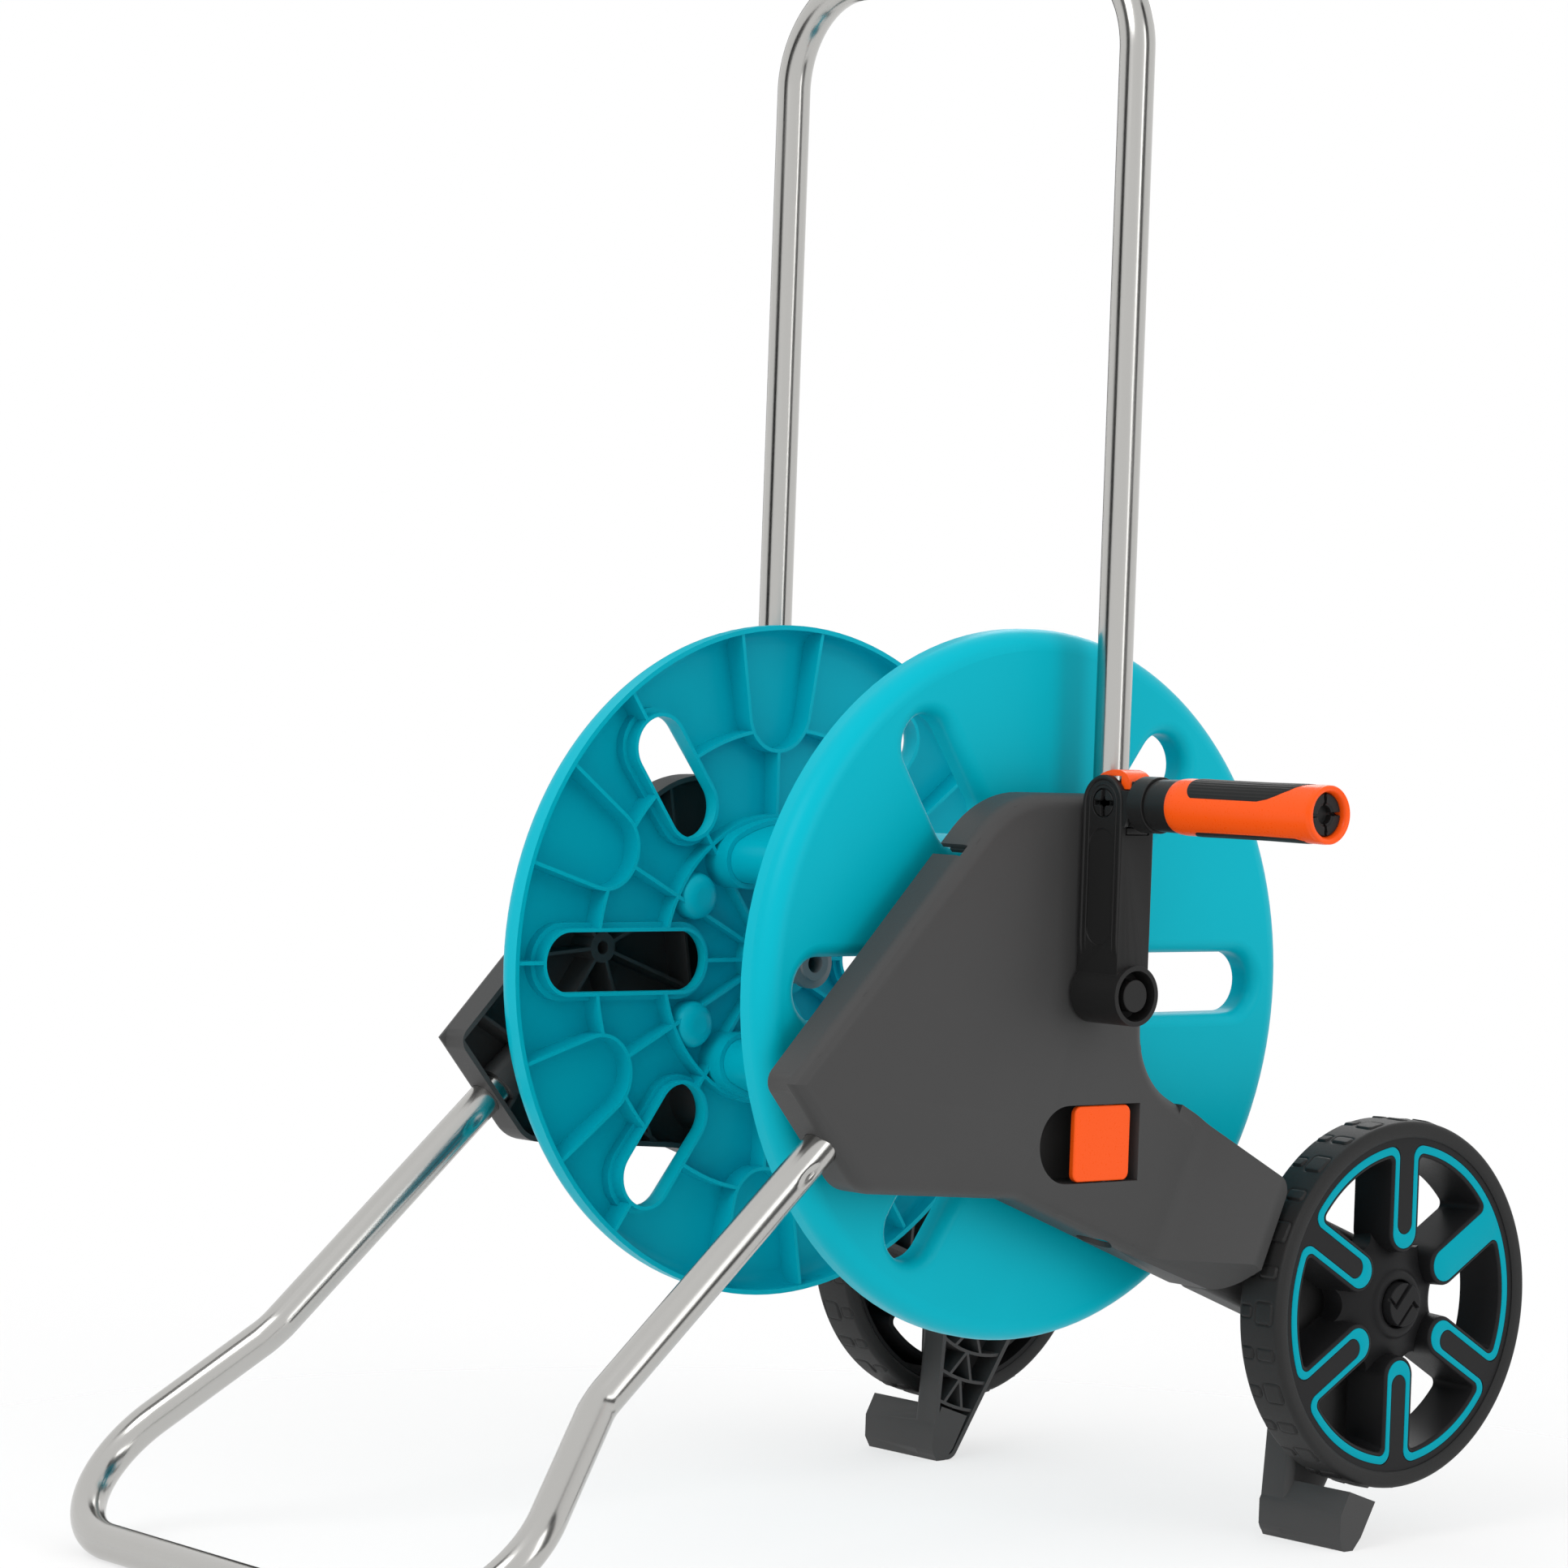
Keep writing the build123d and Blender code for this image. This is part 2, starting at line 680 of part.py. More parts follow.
# ================================================================ water inlet on the left
with BuildPart() as inlet_elbow:
    with BuildSketch(station(-skin_x - 22)):
        Circle(journal_r + 4)
    extrude(amount=22 - 0.3)
    outlet = Plane(origin=reel_point(-skin_x - 13, 0, 0), z_dir=(0, -0.5, -0.866))
    with BuildSketch(outlet):
        Circle(9)
    extrude(amount=42)
    with BuildSketch(outlet.offset(34)):
        Circle(13)
    extrude(amount=6)
    with BuildSketch(outlet.offset(42)):
        Circle(9.6)
    extrude(amount=16)
    with BuildSketch(outlet.offset(48)):
        Circle(9.6)
        Circle(8.2, mode=Mode.SUBTRACT)
    extrude(amount=3, mode=Mode.SUBTRACT)
    with BuildSketch(outlet):
        Circle(water_bore_r)
    extrude(amount=60, mode=Mode.SUBTRACT)
    with BuildSketch(station(-skin_x - 13)):
        Circle(water_bore_r)
    extrude(amount=13, mode=Mode.SUBTRACT)
    with BuildSketch(station(-skin_x - 12)):
        Circle(journal_r + running)
    extrude(amount=12, mode=Mode.SUBTRACT)
inlet_elbow.part.label = "inlet_elbow"
export_step(inlet_elbow.part, "parts/inlet_elbow.step")

# ================================================================ stand tube
reach = (front_reach - tube_r + stand_top[0]) / cos(radians(stand_slope))
stand_plane = Plane(
    origin=reel_point(0, *stand_top),
    x_dir=(1, 0, 0),
    z_dir=Vector(1, 0, 0).cross(stand_direction),
)
corner_reach = stand_x + (reach - stand_knee) * tan(radians(stand_splay))
with BuildPart() as stand_tube:
    with BuildLine(stand_plane) as stand_path:
        FilletPolyline(
            (-stand_x, 5), (-stand_x, stand_knee), (-corner_reach, reach), (corner_reach, reach),
            (stand_x, stand_knee), (stand_x, 5),
            radius=(knee_bend, corner_bend, corner_bend, knee_bend),
        )
    with BuildSketch(Plane(origin=stand_path.line @ 0, z_dir=stand_path.line % 0)):
        Circle(tube_r)
        Circle(tube_r - tube_wall, mode=Mode.SUBTRACT)
    sweep(path=stand_path.line)
stand_tube.part.label = "stand_tube"
export_step(stand_tube.part, "parts/stand_tube.step")

# ================================================================ push handle
handle_plane = Plane(origin=reel_point(0, handle_y, 0), x_dir=(1, 0, 0), z_dir=(0, -1, 0))
with BuildPart() as handle_tube:
    with BuildLine(handle_plane) as handle_path:
        FilletPolyline(
            (-handle_x, handle_foot), (-handle_x, handle_top - tube_r), (handle_x, handle_top - tube_r),
            (handle_x, handle_foot),
            radius=handle_bend,
        )
    with BuildSketch(Plane(origin=handle_path.line @ 0, z_dir=handle_path.line % 0)):
        Circle(tube_r)
        Circle(tube_r - tube_wall, mode=Mode.SUBTRACT)
    sweep(path=handle_path.line)
handle_tube.part.label = "handle_tube"
export_step(handle_tube.part, "parts/handle_tube.step")

with BuildPart() as handle_plugs:
    for hand in (-1, 1):
        with BuildSketch(Plane.XY.offset(axis_height + handle_foot - 3)):
            with Locations((mid_x + hand * handle_x, axis_y + handle_y)):
                Circle(tube_r)
        extrude(amount=3)
        with BuildSketch(Plane.XY.offset(axis_height + handle_foot)):
            with Locations((mid_x + hand * handle_x, axis_y + handle_y)):
                Circle(tube_r - tube_wall - running)
                Circle(tube_r - tube_wall - 2, mode=Mode.SUBTRACT)
        extrude(amount=12)
handle_plugs.part.label = "handle_plugs"
export_step(handle_plugs.part, "parts/handle_plugs.step")

# ================================================================ handle latches
with BuildPart() as latch:
    (front, low, high), rear = latch_box, latch_rear
    with BuildSketch(station(skin_x - 0.3 - latch_depth)):
        with Locations(((front + rear) / 2, (low + high) / 2)):
            RectangleRounded(rear - front, high - low, 4.5)
    extrude(amount=latch_depth)
    fillet(latch.faces().sort_by(Axis.X)[-1].edges(), 1.2)
    # jaw that grips the back of the handle's leg
    with BuildSketch(station(handle_x + 4)):
        with Locations((rear - latch_jaw / 2, (low + high) / 2)):
            Rectangle(latch_jaw, 24)
    extrude(amount=skin_x - 0.3 - latch_depth - handle_x - 3.5)
for name, hand in (("latch_right", 1), ("latch_left", -1)):
    with BuildPart() as catch:
        if hand > 0:
            add(latch.part)
        else:
            mirror(latch.part, about=side)
    catch.part.label = name
    export_step(catch.part, f"parts/{name}.step")

# ================================================================ wheels
axle_centre = (wheel_back, -wheel_drop)
wheel_face = wheel_x + tread_width
spoke_face = wheel_face - 2.0
hub_in = leg_x + leg_width + gap
spoke_angles = (30, 90, 150, 210, 270, 330)
wheel_section = Plane(origin=reel_point(0, *axle_centre), x_dir=(0, 1, 0), z_dir=(0, 0, -1))
wheel_axis = Axis(reel_point(0, *axle_centre), (1, 0, 0))


def wheel_plane(x):
    """The plane across the right wheel's axle at a station x, centred on the axle."""
    return Plane(origin=reel_point(x, *axle_centre), x_dir=(0, 1, 0), z_dir=(1, 0, 0))


def fingered_disc(radius, angles, half, start, bend):
    """A disc with a round-ended finger cut into it along each spoke, its corners rounded."""
    with BuildSketch() as disc:
        Circle(radius)
        for angle in angles:
            with Locations(Location((*polar(start + 60, angle), 0), (0, 0, angle))):
                SlotOverall(120, 2 * half, mode=Mode.SUBTRACT)
        fillet([v for v in disc.vertices() if abs(hypot(v.X, v.Y) - radius) < 0.01], bend)
    return disc.sketch


def inlay_sketch():
    """The coloured line along every window's edge; one spoke is filled with it."""
    with BuildSketch() as line:
        add(fingered_disc(rim_r - 1.5, spoke_angles[1:], spoke_half - 4.8, 37.0, 7.0))
        add(fingered_disc(rim_r - 1.5 - inlay_width, spoke_angles, spoke_half - 2.4, 29.0, 4.5), mode=Mode.SUBTRACT)
    return line.sketch


with BuildPart() as wheel_rim:
    with BuildSketch(wheel_section):
        with BuildLine():
            Polyline(
                (rim_r - rim_wall, wheel_x + 3), (rim_r, wheel_x + 1.5), (rim_r, spoke_face),
                (rim_r - rim_wall, spoke_face), close=True,
            )
        make_face()
    revolve(axis=wheel_axis)
    with BuildSketch(wheel_plane(wheel_x + 8)):
        Circle(rim_r - rim_wall + 1)
        with BuildSketch(mode=Mode.PRIVATE) as windows:
            Circle(rim_r - rim_wall - 1)
            Circle(hub_boss_r + 20, mode=Mode.SUBTRACT)
            for angle in spoke_angles:
                with Locations(Location((*polar(60, angle), 0), (0, 0, angle))):
                    Rectangle(120, 2 * spoke_half + 5, mode=Mode.SUBTRACT)
            fillet(windows.vertices(), 4)
        add(windows.sketch, mode=Mode.SUBTRACT)
    extrude(amount=11)
    with BuildSketch(wheel_plane(wheel_x + 8)):
        for angle in spoke_angles:
            with Locations(Location((*polar(86, angle), 0), (0, 0, angle))):
                SlotOverall(120, 2 * spoke_half + 1)
        Circle(rim_r - rim_wall + 1, mode=Mode.INTERSECT)
    extrude(amount=spoke_face - wheel_x - 8)
    with BuildSketch(wheel_plane(wheel_x + 4)):
        for angle in spoke_angles:
            with Locations(Location((*polar(66, angle), 0), (0, 0, angle))):
                Rectangle(38, 2 * spoke_half - 5)
    extrude(amount=spoke_face - wheel_x - 8, mode=Mode.SUBTRACT)
    with BuildSketch(wheel_plane(hub_in)):
        Circle(hub_boss_r - 8)
    extrude(amount=wheel_x + 9 - hub_in)
    with BuildSketch(wheel_plane(wheel_x + 12)):
        Circle(hub_boss_r)
    extrude(amount=10)
    with BuildSketch(wheel_plane(wheel_x + 12)):
        Circle(hub_boss_r - 4)
    extrude(amount=13)
    with BuildSketch(wheel_plane(wheel_x + 20)):
        Circle(15)
    extrude(amount=20, mode=Mode.SUBTRACT)
    with BuildSketch(wheel_plane(hub_in)):
        Circle(axle_r + running)
    extrude(amount=tread_width + 4, mode=Mode.SUBTRACT)
    with BuildSketch(wheel_plane(spoke_face - inlay_depth)):
        add(inlay_sketch())
    extrude(amount=inlay_depth, mode=Mode.SUBTRACT)

with BuildPart() as wheel_inlay:
    with BuildSketch(wheel_plane(spoke_face - inlay_depth)):
        add(inlay_sketch())
    extrude(amount=inlay_depth)

with BuildPart() as wheel_tyre:
    with BuildSketch(wheel_section):
        with BuildLine():
            Polyline(
                (rim_r, wheel_x + 1), (rim_r + 1.5, wheel_x), (tread_r - 4, wheel_x), (tread_r, wheel_x + 4),
                (tread_r, wheel_face - 5), (tread_r - 4.5, wheel_face), (rim_r + 2, wheel_face),
                (rim_r, wheel_face - 1.5), close=True,
            )
        make_face()
    revolve(axis=wheel_axis)
    for row, (start, width) in enumerate(((wheel_x + 2.5, 12.0), (wheel_x + 16.0, 12.5))):
        with BuildSketch(wheel_plane(start)):
            for block in range(tread_blocks):
                angle = 360 / tread_blocks * (block + row / 2)
                bar(polar(80, angle), polar(tyre_r + 6, angle), 20)
            Circle(tyre_r, mode=Mode.INTERSECT)
            Circle(tread_r - 0.6, mode=Mode.SUBTRACT)
        extrude(amount=width)

with BuildPart() as wheel_axle:
    with BuildSketch(wheel_plane(leg_x)):
        Circle(axle_r)
    extrude(amount=wheel_x + 25 - leg_x)
    with BuildSketch(wheel_plane(leg_x - 3)):
        Circle(axle_r + 4)
    extrude(amount=3)

with BuildPart() as wheel_cap:
    with BuildSketch(wheel_plane(wheel_x + 20 + gap)):
        Circle(14)
    extrude(amount=8)
    for hand in (-1, 1):
        with BuildSketch(wheel_plane(wheel_x + 25.4)):
            with Locations(Location((0, 0, 0), (0, 0, 50))):
                with Locations((hand * 8.5, hand * 3.5)):
                    Rectangle(5.5, 7)
        extrude(amount=3.1, mode=Mode.SUBTRACT)
    with BuildSketch(wheel_plane(wheel_x + 20)):
        Circle(axle_r)
    extrude(amount=5, mode=Mode.SUBTRACT)

for name, piece in (
    ("wheel_rim", wheel_rim), ("wheel_inlay", wheel_inlay), ("wheel_tyre", wheel_tyre),
    ("wheel_axle", wheel_axle), ("wheel_cap", wheel_cap),
):
    with BuildPart() as right_piece:
        add(piece.part)
    right_piece.part.label = f"{name}_right"
    export_step(right_piece.part, f"parts/{name}_right.step")
    with BuildPart() as left_piece:
        mirror(piece.part, about=side)
    left_piece.part.label = f"{name}_left"
    export_step(left_piece.part, f"parts/{name}_left.step")

# ================================================================ crank
# profiles of the crank are drawn on a plane across Y whose axes are the station and the height over the pin
hinge = Plane(origin=reel_point(pin_x, 0, arm_radius), x_dir=(1, 0, 0), z_dir=(0, -1, 0))
arm_back = arm_x - pin_x
fork = arm_half - cheek
core_end = right_reach - 8.0
with BuildPart() as crank_arm:
    with BuildSketch(hinge):
        with Locations((0, -arm_radius / 2)):
            Rectangle(arm_width, arm_radius)
        Circle(knuckle_r)
        with BuildSketch(mode=Mode.PRIVATE) as bulge:
            Circle(bulge_r)
            with Locations((bulge_r, -2.5)):
                Rectangle(2 * bulge_r, 2 * bulge_r - 22, mode=Mode.INTERSECT)
        add(bulge.sketch)
    extrude(amount=arm_half, both=True)
    with BuildSketch(station(arm_x)):
        Circle(boss_r)
    extrude(amount=boss_length)
    # long shallow panel in each broad face
    for hand in (-1, 1):
        with BuildSketch(hinge.offset(hand * (arm_half - 0.6))):
            with Locations((0, -46)):
                SlotOverall(64, 20, rotation=90)
        extrude(amount=hand, mode=Mode.SUBTRACT)
    # fork for the tongue of the neck
    with BuildSketch(hinge):
        with Locations((20 + arm_back + 2.5, 1)):
            Rectangle(40, 2 * (tongue_r + 5.5))
        Circle(tongue_r + gap)
        with Locations((arm_back, 9.5)):
            Rectangle(20, 33)
    extrude(amount=fork, both=True, mode=Mode.SUBTRACT)
    with BuildSketch(hinge):
        Circle(hinge_r)
    extrude(amount=40, both=True, mode=Mode.SUBTRACT)
    for hand in (-1, 1):
        with BuildSketch(hinge.offset(hand * (arm_half - 1.5))):
            Circle(8 + fit)
        extrude(amount=4 * hand, mode=Mode.SUBTRACT)
    with BuildSketch(station(arm_x + boss_length - boss_recess)):
        Circle(boss_recess_r)
    extrude(amount=20, mode=Mode.SUBTRACT)
    with BuildSketch(station(arm_x)):
        Rectangle(drive_square + fit, drive_square + fit)
    extrude(amount=16 + fit, mode=Mode.SUBTRACT)
    with BuildSketch(station(arm_x + 19.5)):
        Circle(6.5)
    extrude(amount=10, mode=Mode.SUBTRACT)
    with BuildSketch(station(arm_x)):
        Circle(2.5 + fit)
    extrude(amount=30, mode=Mode.SUBTRACT)
crank_arm.part.label = "crank_arm"
export_step(crank_arm.part, "parts/crank_arm.step")

with BuildPart() as crank_screw:
    with BuildSketch(station(arm_x + 5)):
        Circle(2.5 - running)
    extrude(amount=14.5)
    with BuildSketch(station(arm_x + 19.5)):
        Circle(4.5)
    extrude(amount=3)
    with BuildSketch(station(arm_x + 20.5)):
        Rectangle(5, 1.2)
        Rectangle(1.2, 5)
    extrude(amount=3, mode=Mode.SUBTRACT)
crank_screw.part.label = "crank_screw"
export_step(crank_screw.part, "parts/crank_screw.step")

with BuildPart() as crank_cap:
    with BuildSketch(station(arm_x + boss_length - boss_recess)):
        Circle(9)
    extrude(amount=boss_recess - 1)
    with BuildSketch(station(arm_x + 20)):
        Circle(6.5 - fit)
        Circle(5, mode=Mode.SUBTRACT)
    extrude(amount=4)
crank_cap.part.label = "crank_cap"
export_step(crank_cap.part, "parts/crank_cap.step")

with BuildPart() as hinge_pin:
    with BuildSketch(hinge.offset(-arm_half + 1.5)):
        Circle(hinge_r - running)
    extrude(amount=2 * (arm_half - 1.5))
    for hand in (-1, 1):
        with BuildSketch(hinge.offset(hand * (arm_half - 1.5))):
            Circle(8)
        extrude(amount=1.2 * hand)
        with BuildSketch(hinge.offset(hand * (arm_half - 1.1))):
            Rectangle(13, 1.4)
            Rectangle(1.4, 13)
        extrude(amount=1.2 * hand, mode=Mode.SUBTRACT)
hinge_pin.part.label = "hinge_pin"
export_step(hinge_pin.part, "parts/hinge_pin.step")

with BuildPart() as crank_neck:
    with BuildSketch(hinge):
        Circle(tongue_r)
        with Locations(((collar_x - pin_x + 2) / 2, 0)):
            Rectangle(collar_x - pin_x + 2, 2 * tongue_r)
    extrude(amount=fork - 0.3, both=True)
    crank_line = reel_point(0, 0, arm_radius)
    grip_plane = Plane(origin=crank_line, x_dir=(0, 1, 0), z_dir=(1, 0, 0))
    with BuildSketch(grip_plane.offset(collar_x)):
        Circle(collar_r)
    extrude(amount=collar_length)
    with BuildSketch(grip_plane.offset(collar_x)):
        Circle(spindle_r)
    extrude(amount=core_end + gap - collar_x)
    with BuildSketch(hinge):
        with Locations((13.6, tongue_r + 1.5)):
            Rectangle(9.4, 2 * 9)
    extrude(amount=fork - 0.3, both=True, mode=Mode.SUBTRACT)
    with BuildSketch(hinge):
        Circle(hinge_r + running)
    extrude(amount=40, both=True, mode=Mode.SUBTRACT)
crank_neck.part.label = "crank_neck"
export_step(crank_neck.part, "parts/crank_neck.step")

with BuildPart() as release_button:
    with BuildSketch(hinge):
        with BuildLine():
            Spline((-4.5, 15.4), (0, 17.4), (6, 18.6), (11.5, 17.2), (16.8, 13.0))
            Polyline((16.8, 13.0), (17.6, 8.0), (9.9, 8.0), (9.9, 15.2), (0, 15.2), (-4.5, 15.2), (-4.5, 15.4))
        make_face()
    extrude(amount=fork - 0.6, both=True)
release_button.part.label = "release_button"
export_step(release_button.part, "parts/release_button.step")

# ================================================================ grip
grip_section = Plane(origin=crank_line, x_dir=(0, 1, 0), z_dir=(0, 0, -1))
grip_axis = Axis(crank_line, (1, 0, 0))
with BuildPart() as grip_core:
    with BuildSketch(grip_section):
        with BuildLine():
            Polyline(
                (spindle_r + running, grip_x), (14.2, grip_x), (14.6, sleeve_x - 1), (14.6, sleeve_x),
                (grip_core_r, sleeve_x), (grip_core_r, core_end), (spindle_r + running, core_end), close=True,
            )
        make_face()
    revolve(axis=grip_axis)
grip_core.part.label = "grip_core"
export_step(grip_core.part, "parts/grip_core.step")

with BuildPart() as grip_sleeve:
    with BuildSketch(grip_section):
        with BuildLine():
            bore_r = grip_core_r + running
            Polyline((bore_r, right_reach - 6), (bore_r, sleeve_x), (14.8, sleeve_x))
            Spline(
                (14.8, sleeve_x), (15.6, sleeve_x + 6), (15.2, sleeve_x + 60), (15.9, right_reach - 6),
                (15.2, right_reach),
            )
            Polyline((15.2, right_reach), (11.4, right_reach), (11.4, right_reach - 6), (bore_r, right_reach - 6))
        make_face()
    revolve(axis=grip_axis)
    with BuildSketch(Plane(origin=crank_line, x_dir=(1, 0, 0), z_dir=(0, 0, 1))) as pad_outline:
        with Locations(((sleeve_x + right_reach) / 2 - 4, 0)):
            SlotOverall(grip_length - 26, 17)
    extrude(amount=40, both=True, mode=Mode.SUBTRACT)
grip_sleeve.part.label = "grip_sleeve"
export_step(grip_sleeve.part, "parts/grip_sleeve.step")

with BuildPart() as grip_pads:
    with BuildSketch(grip_section):
        with Locations(((bore_r + 15.4) / 2, (sleeve_x + right_reach) / 2 - 4)):
            Rectangle(15.4 - bore_r, grip_length - 26)
    revolve(axis=grip_axis)
    with BuildSketch(Plane(origin=crank_line, x_dir=(1, 0, 0), z_dir=(0, 0, 1))):
        with Locations(((sleeve_x + right_reach) / 2 - 4, 0)):
            SlotOverall(grip_length - 26 - fit, 17 - fit)
    extrude(amount=40, both=True, mode=Mode.INTERSECT)
grip_pads.part.label = "grip_pads"
export_step(grip_pads.part, "parts/grip_pads.step")

with BuildPart() as grip_clip:
    with BuildSketch(grip_plane.offset(core_end + gap)):
        Circle(10)
    extrude(amount=4.5)
    with BuildSketch(grip_plane.offset(core_end + gap + 2.5)):
        Rectangle(2, 17)
        Rectangle(17, 2)
    extrude(amount=5, mode=Mode.SUBTRACT)
grip_clip.part.label = "grip_clip"
export_step(grip_clip.part, "parts/grip_clip.step")
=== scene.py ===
"""Looks of the garden hose reel cart, around its CAD frame.

First the finishes of its moulded pieces and drawn tubes, then finer surfaces that stand for some of its CAD
nodes, then the floor, room, lamps and camera. The cart's lengths are in millimetres, the studio's in metres.
"""

import json
from math import radians

import bmesh
import bpy
import numpy as np
from mathutils import Matrix, Vector


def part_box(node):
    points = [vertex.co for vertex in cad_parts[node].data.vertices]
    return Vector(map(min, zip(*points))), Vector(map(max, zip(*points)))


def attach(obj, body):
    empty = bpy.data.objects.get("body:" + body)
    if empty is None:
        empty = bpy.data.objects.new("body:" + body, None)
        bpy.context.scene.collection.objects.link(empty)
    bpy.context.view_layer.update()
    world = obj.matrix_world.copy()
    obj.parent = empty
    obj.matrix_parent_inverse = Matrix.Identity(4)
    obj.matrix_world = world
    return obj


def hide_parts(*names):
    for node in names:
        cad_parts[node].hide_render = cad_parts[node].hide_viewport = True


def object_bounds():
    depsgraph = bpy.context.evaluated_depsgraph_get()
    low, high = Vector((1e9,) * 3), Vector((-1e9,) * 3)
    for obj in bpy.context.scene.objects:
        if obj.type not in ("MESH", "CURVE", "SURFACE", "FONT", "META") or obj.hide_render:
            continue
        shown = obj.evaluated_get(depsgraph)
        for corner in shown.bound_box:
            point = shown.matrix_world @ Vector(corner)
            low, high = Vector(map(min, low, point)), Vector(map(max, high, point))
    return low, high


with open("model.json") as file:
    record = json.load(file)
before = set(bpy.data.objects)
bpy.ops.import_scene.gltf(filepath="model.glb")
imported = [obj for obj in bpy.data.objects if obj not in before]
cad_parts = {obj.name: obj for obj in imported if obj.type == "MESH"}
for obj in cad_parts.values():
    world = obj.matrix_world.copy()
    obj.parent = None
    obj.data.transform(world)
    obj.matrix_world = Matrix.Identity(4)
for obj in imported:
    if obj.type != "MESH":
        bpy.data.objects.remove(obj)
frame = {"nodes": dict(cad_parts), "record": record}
cad_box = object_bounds()
parts = frame["nodes"]

# ---------------------------------------------------------------- small tools
# a noise texture's values stay mostly within this span
noise_span = {"From Min": 0.3, "From Max": 0.7}


def linear(code):
    """Linear colour of an sRGB hex value: each channel divided by 255 and taken through the sRGB curve."""
    channels = np.array([int(code[i : i + 2], 16) for i in (1, 3, 5)]) / 255
    bright = np.where(channels <= 0.04045, channels / 12.92, ((channels + 0.055) / 1.055) ** 2.4)
    return (*bright.tolist(), 1.0)


def add(material, kind, settings=None, sockets=None):
    """Adds a node to a material: settings are its attributes, sockets are values or the outputs to link."""
    tree = material.node_tree
    made = tree.nodes.new(kind)
    for name, value in (settings or {}).items():
        setattr(made, name, value)
    for name, value in (sockets or {}).items():
        if isinstance(value, bpy.types.NodeSocket):
            tree.links.new(value, made.inputs[name])
        else:
            made.inputs[name].default_value = value
    return made


def start(name):
    """A new material with an empty tree and its output."""
    material = bpy.data.materials.new(name)
    material.use_nodes = True
    material.node_tree.nodes.clear()
    return material, add(material, "ShaderNodeOutputMaterial")


def moulded(name, colour, darker, roughness, grain_mm, depth_mm, shine=0.5, ior=1.5):
    """Injection-moulded plastic or rubber: a colour that drifts slowly part of the way to a darker one, and
    the mould's spark grain, as a bump and as a small change of gloss."""
    clouds_per_metre, drift = 9.0, 0.35
    material, output = start(name)
    place = add(material, "ShaderNodeTexCoord").outputs["Object"]
    clouds = add(material, "ShaderNodeTexNoise", {}, {
        "Vector": place, "Scale": clouds_per_metre, "Detail": 3.0, "Roughness": 0.6})
    blend = add(material, "ShaderNodeMapRange", {}, {
        **noise_span, "Value": clouds.outputs["Fac"], "To Min": 0.0, "To Max": drift})
    tint = add(material, "ShaderNodeMix", {"data_type": "RGBA"}, {
        "Factor": blend.outputs["Result"], "A": linear(colour), "B": linear(darker)})
    grain = add(material, "ShaderNodeTexNoise", {}, {
        "Vector": place, "Scale": 1000 / grain_mm, "Detail": 2.0, "Roughness": 0.5})
    bump = add(material, "ShaderNodeBump", {}, {
        "Strength": 0.6, "Distance": depth_mm / 1000, "Height": grain.outputs["Fac"]})
    gloss = add(material, "ShaderNodeMapRange", {}, {
        **noise_span, "Value": grain.outputs["Fac"], "To Min": roughness - 0.04, "To Max": roughness + 0.05})
    body = add(material, "ShaderNodeBsdfPrincipled", {}, {
        "Base Color": tint.outputs["Result"], "Roughness": gloss.outputs["Result"], "IOR": ior,
        "Specular IOR Level": shine, "Normal": bump.outputs["Normal"]})
    material.node_tree.links.new(body.outputs["BSDF"], output.inputs["Surface"])
    return material


def metal(name, colour, roughness, streak_mm, stretch, along_piece=False):
    """Drawn or turned metal: streaks of a given width that vary its polish. The stretch makes them run along
    X, or along the piece where it has a UV map of its own."""
    depth_mm = 0.03
    material, output = start(name)
    place = add(material, "ShaderNodeTexCoord").outputs["UV" if along_piece else "Object"]
    run = add(material, "ShaderNodeMapping", {}, {"Vector": place, "Scale": stretch})
    streaks = add(material, "ShaderNodeTexNoise", {}, {
        "Vector": run.outputs["Vector"], "Scale": 1000 / streak_mm, "Detail": 3.0, "Roughness": 0.6})
    gloss = add(material, "ShaderNodeMapRange", {}, {
        **noise_span, "Value": streaks.outputs["Fac"],
        "To Min": roughness - 0.05, "To Max": roughness + 0.07})
    bump = add(material, "ShaderNodeBump", {}, {
        "Strength": 0.25, "Distance": depth_mm / 1000, "Height": streaks.outputs["Fac"]})
    body = add(material, "ShaderNodeBsdfPrincipled", {}, {
        "Base Color": linear(colour), "Metallic": 1.0, "Roughness": gloss.outputs["Result"],
        "Normal": bump.outputs["Normal"]})
    material.node_tree.links.new(body.outputs["BSDF"], output.inputs["Surface"])
    return material


# ---------------------------------------------------------------- finishes
# A moulded finish gives its colour and darker colour, its roughness, and its grain's width and depth. A
# mould's real grain is about a tenth of a millimetre wide, too fine to show, so these are coarser.

# polypropylene dyed turquoise all through: an even satin that shows its colour more than reflections
drum_polypropylene = moulded("drum_polypropylene", "#00B6C9", "#00AEC1", 0.36, 0.8, 0.02, shine=0.08)
# the same plastic in the wheels' thin inlaid line: a shade deeper, and duller
inlay_polypropylene = moulded("inlay_polypropylene", "#00A0B2", "#009AAC", 0.42, 0.8, 0.01, shine=0.05)
# charcoal polypropylene from a deeply grained mould: matt, with a fine tooth in glancing light
panel_polypropylene = moulded("panel_polypropylene", "#444444", "#3E3E3E", 0.5, 0.7, 0.06, shine=0.24)
# black nylon of the pieces that carry load: satin, with clear edges of light
black_nylon = moulded("black_nylon", "#1F1F1F", "#1A1A1A", 0.4, 0.6, 0.03, shine=0.24)
# black polypropylene of the wheels: as dark as the nylon and a little duller
rim_polypropylene = moulded("rim_polypropylene", "#1E1E1F", "#1A1A1B", 0.45, 0.7, 0.04, shine=0.15)
